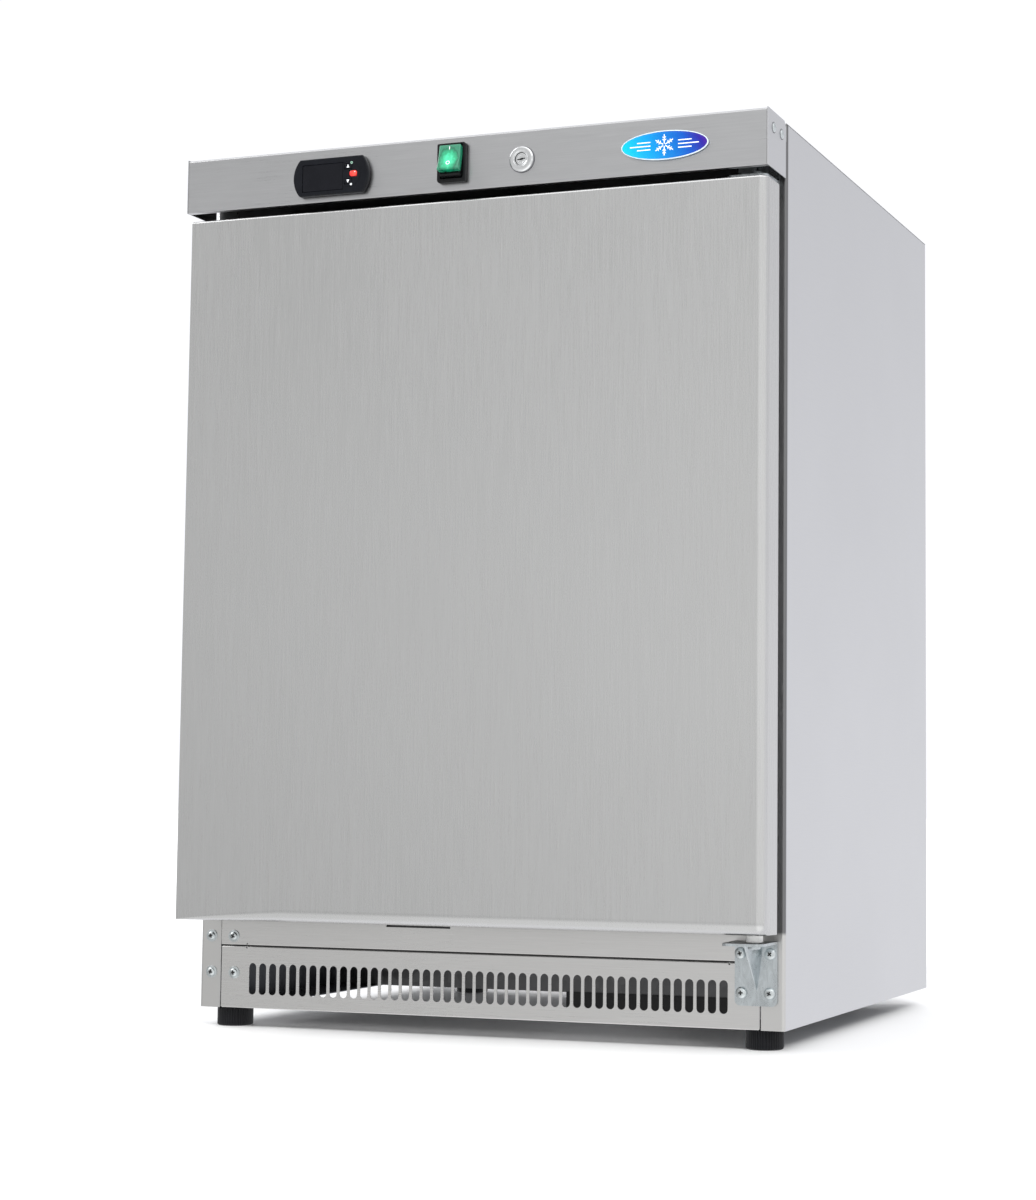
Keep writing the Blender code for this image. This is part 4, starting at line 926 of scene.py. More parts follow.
cz = (CTRL_Z0 + CTRL_Z1) / 2
bulge = []
for a, b, sgn in ((-0.1048, CTRL_X1, 1), (-0.1722, CTRL_X0, -1)):
    h, d = (CTRL_Z1 - CTRL_Z0) / 2, abs(b - a)
    r = (h * h + d * d) / (2 * d)
    reach = math.asin(h / r)
    for k in range(19):
        t = -reach + 2 * reach * k / 18
        bulge.append((a + sgn * (d - r + r * math.cos(t)), cz + sgn * r * math.sin(t)))
groove = bmesh.new()
g_c = (-0.1192, 0.8190)
loft(groove, [[Vector(place3('Y', g_c[0] + r * math.cos(q), g_c[1] + r * math.sin(q), y))
               for q in (2 * math.pi * k / 48 for k in range(48))]
              for r, y in ((0.01235, -0.0080), (0.01235, -0.00635), (0.01280, -0.00635), (0.01280, -0.0080))], ring=True)
bm = bmesh.new()
prism(bm, bulge, 'Y', -0.0066, -0.0003)
body = object_of("controller_housing_moulded", bm)
mod = body.modifiers.new("edge", 'BEVEL')
mod.width, mod.segments, mod.limit_method, mod.angle_limit = 0.0013, 4, 'ANGLE', math.radians(35)
finish(body, GLOSS_BLACK, CAB, "black_plastic", "controller_housing",
       joins=[boxes((-0.1730, -0.1050, -0.0030, 0.0480, 0.8055, 0.8320))],
       cuts=[boxes((-0.1690, -0.1252, -0.0090, -0.0050, 0.8044, 0.8310)),
             boxes((-0.1239, -0.1155, -0.0090, -0.0032, 0.8238, 0.8294), (-0.1238, -0.1154, -0.0090, -0.0032, 0.8091, 0.8147)),
             boxes((-0.1186, -0.1102, -0.0090, -0.0032, 0.8163, 0.8225)), tool(groove)], sharp=30)

m = Nodes("display_lens")
m.base(m.ramp(m.noise((70.0, 70.0, 70.0), 2.0), [(0.3, (0.0042, 0.0046, 0.0070)), (0.7, (0.0062, 0.0066, 0.0095))]))
m.rough(m.remap(m.noise((240.0, 240.0, 240.0), 2.0), 0.05, 0.12))
m.shader.inputs["Coat Weight"].default_value = 0.0
m.shader.inputs["Specular IOR Level"].default_value = 0.24
solid("controller_window_lens", lambda b: loft(b, [
    rrect('Y', -0.1686, -0.1256, 0.8048, 0.8306, 0.0012, -0.0054),
    rrect('Y', -0.1686, -0.1256, 0.8048, 0.8306, 0.0012, -0.0062),
    rrect('Y', -0.1684, -0.1258, 0.8050, 0.8304, 0.0010, -0.0064)]), m.mat, CAB, "display_window", "controller_window", sharp=30)

m = Nodes("icon_white")
m.base(m.ramp(m.noise((900.0, 900.0, 900.0), 2.0), [(0.3, (0.78, 0.80, 0.82)), (0.7, (0.92, 0.93, 0.94))]))
m.rough(0.4)
# painted glow: the emission makes these printed white marks shine though they are no lamps
m.shader.inputs["Emission Color"].default_value = (0.9, 0.95, 1.0, 1)
m.shader.inputs["Emission Strength"].default_value = 0.30
ICON = m.mat
m = Nodes("icon_green")
m.base(m.ramp(m.noise((900.0, 900.0, 900.0), 2.0), [(0.3, (0.30, 0.55, 0.42)), (0.7, (0.42, 0.66, 0.52))]))
m.rough(0.4)
ICON_GREEN = m.mat


def key(name, node, cx, kz, w, h, mat, slot, r=0.0009, front=-0.0070):
    solid(name, lambda b: loft(b, [
        rrect('Y', cx - w, cx + w, kz - h, kz + h, r, -0.0042),
        rrect('Y', cx - w, cx + w, kz - h, kz + h, r, front + 0.0007),
        rrect('Y', cx - w + 0.0002, cx + w - 0.0002, kz - h + 0.0002, kz + h - 0.0002, r, front + 0.0002),
        rrect('Y', cx - w + 0.0007, cx + w - 0.0007, kz - h + 0.0007, kz + h - 0.0007, r * 0.8, front)]),
        mat, node, slot, node, sharp=50)


key("key_up_cap", "key_up", -0.1197, 0.8266, 0.0038, 0.0024, GLOSS_BLACK, "key")
key("key_down_cap", "key_down", -0.1196, 0.8119, 0.0038, 0.0024, GLOSS_BLACK, "key")
m = Nodes("key_red_lit")
glow = m.voronoi((1.0, 1.0, 1.0), 'F1', "Distance", m.mapped((150.0, 150.0, 180.0)))
m.base(m.ramp(glow, [(0.1, (0.85, 0.06, 0.04)), (0.6, (0.45, 0.010, 0.010))]))
m.rough(m.remap(m.noise((800.0, 800.0, 800.0)), 0.12, 0.24))
m.shader.inputs["Emission Color"].default_value = (1.0, 0.06, 0.04, 1)
m.shader.inputs["Emission Strength"].default_value = 0.55
m.shader.inputs["Coat Weight"].default_value = 0.7
m.shader.inputs["Coat Roughness"].default_value = 0.08
key("key_set_cap", "key_set", -0.1144, 0.8194, 0.0038, 0.0027, m.mat, "key_lit", 0.0020)


def mark(name, points, y0, y1, mat, body, slot):
    solid(name, lambda b: prism(b, points, 'Y', y0, y1), mat, body, slot, sharp=30)


def ring_mark(name, cx, kz, r0, r1, y0, y1, mat, body, slot, seg=28):
    solid(name, lambda b: loft(b, [[Vector(place3('Y', cx + r * math.cos(q), kz + r * math.sin(q), y))
                                    for q in (2 * math.pi * k / seg for k in range(seg))]
                                   for r, y in ((r0, y0), (r1, y0), (r1, y1), (r0, y1))], ring=True),
          mat, body, slot, sharp=30)


mark("key_up_mark", [(-0.1211, 0.8252), (-0.1183, 0.8252), (-0.1197, 0.8283)], -0.00712, -0.0069, ICON, "key_up", "key")
mark("key_down_mark", [(-0.1210, 0.8134), (-0.1196, 0.8103), (-0.1182, 0.8134)], -0.00712, -0.0069, ICON, "key_down", "key")
ring_mark("icon_defrost", -0.1160, 0.8299, 0.0006, 0.0012, -0.00672, -0.0065, ICON_GREEN, CAB, "display_window")
ring_mark("icon_standby", -0.1164, 0.8089, 0.0005, 0.0011, -0.00672, -0.0065, ICON, CAB, "display_window")
# painted highlight: a white mark on the red key stands in for a glint
mark("key_set_painted_glint", rounded([(-0.1128, 0.8203), (-0.1116, 0.8207), (-0.1118, 0.8212), (-0.1131, 0.8208)], 0.0002, 3),
     -0.00705, -0.0069, ICON, "key_set", "key_lit")

# rocker switch: frame with a stepped well, black rocker body, clear green lens
outline = rounded([(SW_X - 0.0150, 0.8026), (SW_X + 0.0143, 0.8026), (SW_X + 0.0143, 0.8405), (SW_X - 0.0150, 0.8405)],
                  {0: 0.0034, 1: 0.0016, 2: 0.0026, 3: 0.0016}, 6)
bm = bmesh.new()
prism(bm, outline, 'Y', -0.0055, -0.0003)
body = object_of("switch_frame", bm)
mod = body.modifiers.new("edge", 'BEVEL')
mod.width, mod.segments, mod.limit_method, mod.angle_limit = 0.0008, 3, 'ANGLE', math.radians(45)
well = bmesh.new()
loft(well, [rrect('Y', SW_X - 0.0118, SW_X + 0.0118, 0.8060, 0.8391, 0.0010, -0.0100),
            rrect('Y', SW_X - 0.0118, SW_X + 0.0118, 0.8060, 0.8391, 0.0010, -0.0046),
            rrect('Y', SW_X - 0.0113, SW_X + 0.0113, 0.8065, 0.8386, 0.0008, -0.0038),
            rrect('Y', SW_X - 0.0113, SW_X + 0.0113, 0.8065, 0.8386, 0.0008, 0.0090)])
finish(body, SWITCH_BLACK, CAB, "black_plastic", "switch_housing",
       joins=[boxes((SW_X - 0.0134, SW_X + 0.0134, -0.0020, 0.0300, 0.8056, 0.8394))],
       cuts=[tool(well)], sharp=30)

face = math.radians(56.4)
turn2 = Matrix.Rotation(-ROCKER_TILT, 2)
front_a = -ROCKER_R * math.cos(face)
top_b = ROCKER_R * math.sin(face)


def tilted(points):
    out = [turn2 @ Vector(p) for p in points]
    return [(ROCKER_Y + p.x, ROCKER_Z + p.y) for p in out]


arc = []
for k in range(13):
    t = face + math.radians(14) + (math.radians(100) - face - math.radians(14)) * k / 12
    arc.append((-(ROCKER_R - 0.0001) * math.cos(t), (ROCKER_R - 0.0001) * math.sin(t)))
sect = arc + [(a, -b) for a, b in reversed(arc)] + [(front_a + 0.0044, -0.0115), (front_a + 0.0044, 0.0115)]
solid("switch_rocker_body", lambda b: prism(b, tilted(sect), 'X', SW_X - 0.0105, SW_X + 0.0105), SWITCH_BLACK,
      "rocker", "black_plastic", "switch_rocker", sharp=30)
front_a -= 0.0030
lens = [(front_a + 0.0076, top_b - 0.0004), (front_a + 0.0076, -top_b + 0.0004), (front_a, -top_b), (front_a + 0.0002, -0.0098),
        (front_a + 0.0009, -0.0030), (front_a + 0.0010, 0.0), (front_a + 0.0009, 0.0030), (front_a + 0.0002, 0.0098),
        (front_a, top_b)]
m = Nodes("rocker_lens_green")
sep = m.n.new("ShaderNodeSeparateXYZ")
m.link(m.coords, sep.inputs[0])
dx = m.math('ABSOLUTE', m.math('SUBTRACT', sep.outputs["X"], SW_X), 0.0)
dz = m.math('ABSOLUTE', m.math('SUBTRACT', sep.outputs["Z"], ROCKER_Z), 0.0)
q = m.math('ADD', m.math('POWER', m.math('DIVIDE', dx, 0.0108), 2.0), m.math('POWER', m.math('DIVIDE', dz, 0.0130), 2.0))
q = m.math('ADD', q, m.remap(m.noise((260.0, 260.0, 200.0), 3.0, 0.7), -0.25, 0.25, 0.25, 0.75))
# painted light: besides the emission of the lamp inside, the base colour is painted lighter in the centre and darker
# towards the sides, standing in for the lamp's glow
m.base(m.ramp(q, [(0.02, (0.03, 0.52, 0.27)), (0.42, (0.006, 0.30, 0.14)), (0.95, (0.002, 0.11, 0.055)), (1.0, (0.02, 0.20, 0.11))]))
lit = m.ramp(q, [(0.0, (0.10, 0.75, 0.42)), (0.35, (0.020, 0.30, 0.14)), (0.8, (0.0, 0.02, 0.01))])
m.link(lit, m.shader.inputs["Emission Color"])
m.shader.inputs["Emission Strength"].default_value = 0.30
m.rough(m.remap(m.noise((500.0, 500.0, 500.0)), 0.06, 0.16))
m.shader.inputs["Coat Weight"].default_value = 0.35
m.shader.inputs["Coat Roughness"].default_value = 0.05
m.shader.inputs["Coat IOR"].default_value = 1.6
LENS = m.mat
solid("switch_rocker_lens", lambda b: prism(b, tilted(lens), 'X', SW_X - 0.0112, SW_X + 0.0112), LENS, "rocker",
      "rocker_green", bevel=0.0013, bevel_seg=4, angle=50, sharp=60)


def on_lens(b):
    """Depth of the lens face at height b of the rocker, set a little in front of it."""
    a = front_a + 0.0002 + (0.0008 * (1 - min(1.0, abs(b) / 0.0098) ** 1.0))
    return a - 0.00012


def lens_bar(bm, x0, x1, b0, b1):
    rows = []
    for b in (b0, b1):
        a = on_lens(b)
        pts = tilted([(a, b), (a + 0.0006, b)])
        rows.append([Vector((x0, *pts[0])), Vector((x1, *pts[0])), Vector((x1, *pts[1])), Vector((x0, *pts[1]))])
    loft(bm, rows)


def lens_ring(bm, cb, r0, r1, seg=28):
    rows = []
    for r, deep in ((r0, 0), (r1, 0), (r1, 0.0006), (r0, 0.0006)):
        row = []
        for k in range(seg):
            t = 2 * math.pi * k / seg
            b = cb + r * math.sin(t)
            row.append(Vector((SW_X + r * math.cos(t), *tilted([(on_lens(b) + deep, b)])[0])))
        rows.append(row)
    loft(bm, rows, ring=True)


solid("switch_mark_on", lambda b: lens_bar(b, SW_X - 0.00035, SW_X + 0.00035, 0.0078, 0.0108), ICON, "rocker", "rocker_green")
solid("switch_mark_off", lambda b: lens_ring(b, -0.0062, 0.0014, 0.0020), ICON, "rocker", "rocker_green")

# lock: turned barrel flange, plug with a worn key slot
turned("lock_barrel_turned", CHROME, CAB, "chrome", ["lock_barrel"],
       [(0.0062, 0.0175), (0.0094, 0.0175), (0.0094, -0.0003), (0.0121, -0.0003), (0.0121, -0.0019), (0.0119, -0.0026),
        (0.0110, -0.0034), (0.0098, -0.0036), (0.0076, -0.0034), (0.0073, -0.0031), (0.0069, -0.0031), (0.0066, -0.0034),
        (0.0063, -0.0034), (0.0062, -0.0033), (0.0062, 0.0175)], (LOCK_X, 0, LOCK_Z), (0, 1, 0), 72, sharp=25)
# painted shade: a dark ring just wider than the lock flange stands in for the shade in the crevice round it
turned("lock_crevice_shade_ring", SEAL, CAB, "gasket", [],
       [(0.0104, -0.0002), (0.0104, -0.0009), (0.0125, -0.0009), (0.0127, -0.0006), (0.0127, -0.0002), (0.0104, -0.0002)],
       (LOCK_X, 0, LOCK_Z), (0, 1, 0), 60, sharp=25)
keyway = bmesh.new()
q = Matrix.Rotation(math.radians(7), 2)
shape = [(-0.0040, -0.0006), (-0.0012, -0.0006), (-0.0008, -0.0011), (0.0012, -0.0011), (0.0016, -0.0006), (0.0040, -0.0006),
         (0.0040, 0.0005), (0.0022, 0.0005), (0.0018, 0.0009), (-0.0006, 0.0009), (-0.0010, 0.0005), (-0.0040, 0.0005)]
prism(keyway, [tuple(Vector((LOCK_X, LOCK_Z)) + q @ Vector(p)) for p in shape], 'Y', -0.0100, 0.0080)
turned("lock_plug_turned", CHROME, "lock", "chrome", ["lock_plug"],
       [(0, 0.0182), (0.0058, 0.0182), (0.0058, -0.0021), (0.0055, -0.0025), (0.0050, -0.0026), (0.0036, -0.0026),
        (0.0034, -0.0024), (0, -0.0024)], (LOCK_X, 0, LOCK_Z), (0, 1, 0), 60, cuts=[tool(keyway)], sharp=25)
keep("lock_cam", ZINC, 0.0003)

# badge: domed oval with a generic snow crystal
m = Nodes("badge_enamel")
sep = m.n.new("ShaderNodeSeparateXYZ")
m.link(m.coords, sep.inputs[0])
fx = m.remap(m.math('ADD', sep.outputs["X"], m.math('MULTIPLY', m.math('SUBTRACT', sep.outputs["Z"], BADGE_Z), 0.5)), 0.0, 1.0,
             BADGE_X - 0.042, BADGE_X + 0.042)
cloud = m.remap(m.noise((60.0, 60.0, 60.0), 2.0), -0.03, 0.03)
m.base(m.ramp(m.math('ADD', fx, cloud), [(0.0, (0.0, 0.56, 0.82)), (0.22, (0.0, 0.36, 0.72)), (0.50, (0.0, 0.19, 0.58)),
                                          (0.76, (0.0, 0.08, 0.46)), (0.93, (0.02, 0.012, 0.30)), (1.0, (0.06, 0.01, 0.26))]))
m.rough(m.remap(m.noise((300.0, 300.0, 300.0)), 0.12, 0.22))
m.shader.inputs["Specular IOR Level"].default_value = 0.30
m.shader.inputs["Coat Weight"].default_value = 0.15
m.shader.inputs["Coat Roughness"].default_value = 0.04
BW, BH = 0.0424, 0.0136


def oval(rx, rz, y, seg=72):
    return [Vector(place3('Y', BADGE_X + rx * math.cos(2 * math.pi * k / seg), BADGE_Z + rz * math.sin(2 * math.pi * k / seg), y))
            for k in range(seg)]


solid("badge_field", lambda b: loft(b, [oval(BW - 0.0008, BH - 0.0008, -0.0013), oval(BW - 0.0008, BH - 0.0008, -0.0024),
                                        oval(BW - 0.0012, BH - 0.0012, -0.00262), oval(BW - 0.0040, BH - 0.0036, -0.00285),
                                        oval(BW * 0.55, BH * 0.50, -0.00298)]), m.mat, CAB, "badge", "badge_plate", sharp=60)
m = Nodes("badge_rim")
m.base(m.ramp(m.noise((200.0, 200.0, 200.0)), [(0.3, (0.62, 0.74, 0.84)), (0.7, (0.80, 0.88, 0.93))]))
m.rough(0.18)
RIM = m.mat
solid("badge_rim", lambda b: loft(b, [oval(BW - 0.0009, BH - 0.0009, -0.0012), oval(BW, BH, -0.0012), oval(BW, BH, -0.0024),
                                      oval(BW - 0.0003, BH - 0.0003, -0.0028), oval(BW - 0.0009, BH - 0.0009, -0.0028)], ring=True),
      RIM, CAB, "badge", sharp=60)


def crystal(bm):
    def stroke(p, q, w, y0=-0.00315, y1=-0.0027):
        p, q = Vector(p), Vector(q)
        n = (q - p).normalized()
        s = Vector((-n.y, n.x)) * w
        prism(bm, [tuple(p + s), tuple(p - s), tuple(q - s), tuple(q + s)], 'Y', y0, y1)
    c = Vector((BADGE_X, BADGE_Z))
    for k in range(6):
        d = Vector((math.cos(math.radians(90 + 60 * k)), math.sin(math.radians(90 + 60 * k))))
        s = Vector((-d.y, d.x))
        stroke(c + d * 0.0012, c + d * 0.0098, 0.00042)
        for t, l in ((0.0040, 0.0022), (0.0064, 0.0020)):
            for sg in (-1, 1):
                root = c + d * t
                stroke(root, root + (d + s * sg * 1.3).normalized() * l, 0.00034)
    for sg in (-1, 1):
        for dzz, l0, l1 in ((0.0, 0.0135, 0.0335), (0.0034, 0.0135, 0.0265), (-0.0034, 0.0135, 0.0265)):
            stroke(c + Vector((sg * l0, dzz)), c + Vector((sg * l1, dzz)), 0.00045)


solid("badge_snow_crystal", crystal, ICON, CAB, "badge", sharp=30)

# ------------------------------------------------------------------ door lining and seal
GX0 = -0.2680
lining = [rrect('Y', GX0 + 0.0008, DOOR_X1 - 0.0013, DOOR_Z0 + 0.0013, DOOR_Z1 - 0.0013, 0.0040, 0.0344, 8),
          rrect('Y', GX0 + 0.0008, DOOR_X1 - 0.0013, DOOR_Z0 + 0.0013, DOOR_Z1 - 0.0013, 0.0040, 0.0362, 8)]
for hx, z0, z1, r, y in ((0.2400, 0.1620, 0.7520, 0.020, 0.0362), (0.2390, 0.1632, 0.7508, 0.020, 0.0370), (0.2345, 0.1688, 0.7452, 0.018, 0.0478),
                         (0.2333, 0.1700, 0.7440, 0.018, 0.0492), (0.2316, 0.1717, 0.7423, 0.017, 0.0500), (0.2190, 0.1830, 0.7310, 0.014, 0.0500),
                         (0.2172, 0.1848, 0.7292, 0.013, 0.0494), (0.2160, 0.1860, 0.7280, 0.012, 0.0480), (0.2152, 0.1868, 0.7272, 0.012, 0.0447),
                         (0.2144, 0.1876, 0.7264, 0.012, 0.0441), (0.2130, 0.1890, 0.7250, 0.011, 0.0440)):
    lining.append(rrect('Y', -hx, hx, z0, z1, r, y, 8))
solid("door_lining_moulded", lambda b: loft(b, lining), WHITE, "door", "white_plastic", "door_inner_panel", sharp=50)


def frame_sweep(bm, section, x0, x1, z0, z1, r, seg=6):
    """Section (inward distance, y) carried round a rounded rectangle."""
    pts = [Vector(p) for p in rounded(rect(x0, x1, z0, z1), r, seg)]
    n = len(pts)
    rows = []
    for i, p in enumerate(pts):
        t0, t1 = (p - pts[i - 1]), (pts[(i + 1) % n] - p)
        t0.normalize()
        t1.normalize()
        t = (t0 + t1).normalized()
        inward = Vector((-t.y, t.x))
        k = 1 / max(0.5, math.sqrt((1 + t0.dot(t1)) / 2))
        rows.append([Vector((p.x + inward.x * d * k, y, p.y + inward.y * d * k)) for d, y in section])
    loft(bm, rows, ring=True)


bellows = [(0.0004, 0.0580), (0.0146, 0.0580), (0.0150, 0.0574), (0.0150, 0.0528), (0.0144, 0.0520), (0.0118, 0.0503), (0.0142, 0.0473),
           (0.0112, 0.0443), (0.0136, 0.0410), (0.0120, 0.0367), (0.0030, 0.0367), (0.0014, 0.0410), (0.0038, 0.0443),
           (0.0008, 0.0473), (0.0032, 0.0503), (0.0006, 0.0520), (0.0000, 0.0528), (0.0000, 0.0574)]
solid("door_gasket_bellows", lambda b: frame_sweep(b, bellows, -0.2830, 0.2830, 0.1255, 0.7830, 0.0165), SEAL, "door", "gasket",
      "door_gasket", sharp=50)

# ------------------------------------------------------------------ liner with soft corners, ledges, shelves
def cavity(grow, y0, r):
    pts = [(y0, CAV_Z0 - grow), (STEP_Y + grow, CAV_Z0 - grow), (STEP_Y + grow, STEP_Z - grow), (CAV_Y1 + grow, STEP_Z - grow),
           (CAV_Y1 + grow, CAV_Z1 + grow), (y0, CAV_Z1 + grow)]
    return rounded(pts, {1: r, 2: min(r, 0.0030), 3: r, 4: r}, 6) if r else pts


def cavity_form(grow, y0, r, hx):
    bm = bmesh.new()
    prism(bm, cavity(grow, y0, r), 'X', -hx, hx)
    return bm


inside = tool(cavity_form(0, 0.0500, 0.012, CAV_X))
mod = inside.modifiers.new("corner", 'BEVEL')
mod.width, mod.segments, mod.limit_method, mod.angle_limit = 0.0100, 5, 'ANGLE', math.radians(60)
finish(object_of("inner_liner_moulded", cavity_form(0.0020, FRONT + 0.0006, 0, CAV_X + 0.0020)), WHITE, CAB, "white_plastic", "inner_liner",
       joins=[prisms('Y', 0.0592, 0.0612, rounded(rect(-0.2770, 0.2770, 0.1225, 0.7868), 0.004, 4))], cuts=[inside], sharp=50)


def ledge_set(bm):
    for z in SHELF_Z:
        for sx in (-1, 1):
            x = sorted((sx * (CAV_X + 0.0008), sx * (CAV_X - 0.0080)))
            loft(bm, [rrect('X', 0.0720, 0.5200, z - 0.0090, z - 0.0005, 0.0030, x[0] if sx > 0 else x[1]),
                      rrect('X', 0.0720, 0.5200, z - 0.0090, z - 0.0005, 0.0030, (x[1] if sx > 0 else x[0]) - sx * 0.0012),
                      rrect('X', 0.0730, 0.5190, z - 0.0080, z - 0.0015, 0.0024, x[1] if sx > 0 else x[0])])


solid("liner_shelf_ledges", ledge_set, WHITE, CAB, "white_plastic", sharp=50)


def wire_shelf(bm, z):
    r = 0.0025
    ring = [Vector((a, b, z + r)) for a, b in rounded(rect(-0.2490 + r, 0.2490 - r, 0.0750 + r, 0.5050 - r), 0.016, 8)]
    sweep(bm, ring, r, 12, closed=True)
    for y in (0.2180, 0.3620):
        sweep(bm, [Vector((-0.2465, y, z + 0.0017)), Vector((0.2465, y, z + 0.0017))], 0.0016, 10)
    n = 25
    for i in range(n):
        x = -0.2280 + 0.4560 * i / (n - 1)
        sweep(bm, [Vector((x, 0.0772, z + 0.0037)), Vector((x, 0.5028, z + 0.0037))], 0.0013, 8)


for name, z in zip(("shelf_bottom", "shelf_middle", "shelf_top"), SHELF_Z):
    solid(name + "_wires", lambda b: wire_shelf(b, z), COATED, name, "coated_wire", name, sharp=60)

# ------------------------------------------------------------------ feet
def ribbed_foot(bm, x, y, ribs=44):
    rows = []
    for z, r, depth in ((0.0, 0.0160, 0.0), (0.0006, 0.0169, 0.3), (0.0014, FOOT_R, 1.0), (0.0168, FOOT_R, 1.0),
                        (0.0175, 0.0170, 0.5), (0.0180, 0.0162, 0.0)):
        row = []
        for k in range(ribs * 4):
            t = 2 * math.pi * k / (ribs * 4)
            cutin = (0.0, 0.0, 0.00095, 0.00095)[k % 4] * depth
            row.append(Vector((x + (r - cutin) * math.cos(t), y + (r - cutin) * math.sin(t), z)))
        rows.append(row)
    loft(bm, rows)


for name, (x, y) in FEET.items():
    solid(name + "_ribbed", lambda b: ribbed_foot(b, x, y), RUBBER, name, "foot_rubber", name, sharp=25, weighted=False)
    thread = [(0, 0.0180)]
    k = 0
    while 0.0182 + 0.00125 * k < 0.0408:
        h = 0.0182 + 0.00125 * k
        thread += [(0.0033, h), (0.0040, h + 0.0006)]
        k += 1
    thread += [(0.0033, 0.0412), (0.0028, 0.0420), (0, 0.0420)]
    turned(name + "_stud", ZINC, name, "zinc", [], [(r, h) for r, h in thread], (x, y, 0), (0, 0, 1), 24, sharp=20, weighted=False)

# ------------------------------------------------------------------ cooling unit
CX, CY = 0.1300, 0.4450
body_profile = [(0, 0.1620), (0.0200, 0.1613), (0.0380, 0.1585), (0.0520, 0.1520), (0.0615, 0.1430), (0.0680, 0.1300), (0.0710, 0.1160),
                (0.0720, 0.1000), (0.0720, 0.0866), (0.0726, 0.0860), (0.0764, 0.0858), (0.0770, 0.0850), (0.0770, 0.0810), (0.0764, 0.0802),
                (0.0726, 0.0800), (0.0720, 0.0794), (0.0720, 0.0460), (0.0700, 0.0330), (0.0650, 0.0230), (0.0550, 0.0160),
                (0.0380, 0.0120), (0.0200, 0.0104), (0, 0.0100)]
turned("compressor_shell", PAINT, CAB, "black_paint", ["compressor"], body_profile, (CX, CY, 0.0226), (0, 0, 1), 72, sharp=40)
solid("compressor_mounting_plate", lambda b: prism(b, rounded(rect(CX - 0.0850, CX + 0.0850, CY - 0.0500, CY + 0.0500), 0.012, 6), 'Z', 0.0316, 0.0346),
      PAINT, CAB, "black_paint", bevel=0.0006, bevel_seg=2,
      cuts=[bars(*[((CX + dx, CY + dy, 0.02), (0, 0, 1), 0.0040, 0.03) for dx in (-0.070, 0.070) for dy in (-0.036, 0.036)], seg=20)])
for i, (dx, dy) in enumerate(((-0.070, -0.036), (0.070, -0.036), (-0.070, 0.036), (0.070, 0.036))):
    turned("compressor_grommet_%d" % (i + 1), RUBBER, CAB, "foot_rubber", [],
           [(0, 0.0), (0.0100, 0.0), (0.0108, 0.0008), (0.0108, 0.0034), (0.0086, 0.0044), (0.0086, 0.0060), (0.0104, 0.0072), (0.0104, 0.0086),
            (0.0098, 0.0090), (0, 0.0090)], (CX + dx, CY + dy, 0.0226), (0, 0, 1), 32)
    turned("compressor_bolt_%d" % (i + 1), ZINC, CAB, "zinc", [],
           [(0, 0.0), (0.0075, 0.0), (0.0075, 0.0008), (0.0048, 0.0010), (0.0048, 0.0040), (0.0040, 0.0046), (0, 0.0048)],
           (CX + dx, CY + dy, 0.0346), (0, 0, 1), 6, sharp=20)
solid("compressor_terminal_box", lambda b: loft(b, [
    rrect('X', CY - 0.0280, CY + 0.0280, 0.0450, 0.0980, 0.005, 0.2025), rrect('X', CY - 0.0280, CY + 0.0280, 0.0450, 0.0980, 0.005, 0.2290),
    rrect('X', CY - 0.0265, CY + 0.0265, 0.0465, 0.0965, 0.005, 0.2325), rrect('X', CY - 0.0240, CY + 0.0240, 0.0490, 0.0940, 0.004, 0.2340)]),
    BLACK, CAB, "black_plastic", "compressor_terminal_cover", sharp=40)
solid("terminal_box_clip", lambda b: sweep(b, smooth_route([(0.2050, CY - 0.0292, 0.0715), (0.2200, CY - 0.0295, 0.0715), (0.2335, CY - 0.0285, 0.0715),
                                                             (0.2352, CY - 0.0200, 0.0715), (0.2352, CY + 0.0200, 0.0715), (0.2335, CY + 0.0285, 0.0715),
                                                             (0.2200, CY + 0.0295, 0.0715), (0.2050, CY + 0.0292, 0.0715)], 6), 0.0010, 8),
      ZINC, CAB, "zinc", sharp=60)


def condenser_fins(bm):
    n = 52
    for i in range(n):
        y = 0.3712 + (0.5328 - 0.3712) * i / (n - 1)
        box(bm, -0.2040, -0.1560, y - 0.00022, y + 0.00022, 0.0310, 0.1990)


def condenser_tubes(bm):
    for col, x in enumerate((-0.1920, -0.1680)):
        levels = [0.0420 + 0.0242 * k for k in range(7)]
        for z in levels:
            cyl(bm, (x, 0.3702, z), (0, 1, 0), 0.0040, 0.0040, 0.1636, 16)


solid("condenser_fin_pack", condenser_fins, FIN, CAB, "aluminium", "condenser", sharp=40, weighted=False)
solid("condenser_tube_rows", condenser_tubes, COPPER, CAB, "copper", sharp=40)
for i, y in enumerate((0.3702, 0.5332)):
    solid("condenser_end_plate_%d" % (i + 1), lambda b: prism(b, rounded(rect(-0.2048, -0.1552, 0.0302, 0.1998), 0.003, 4), 'Y', y, y + 0.0008),
          GALV, CAB, "galvanised", bevel=0.0002)
keep("condenser_shroud", GALV, 0.0002)
turned("condenser_shroud_collar", GALV, CAB, "galvanised", [],
       [(0.0786, 0.0), (0.0786, 0.0110), (0.0792, 0.0116), (0.0798, 0.0110), (0.0798, 0.0), (0.0786, 0.0)],
       (-0.1515, 0.4550, 0.1150), (1, 0, 0), 72)


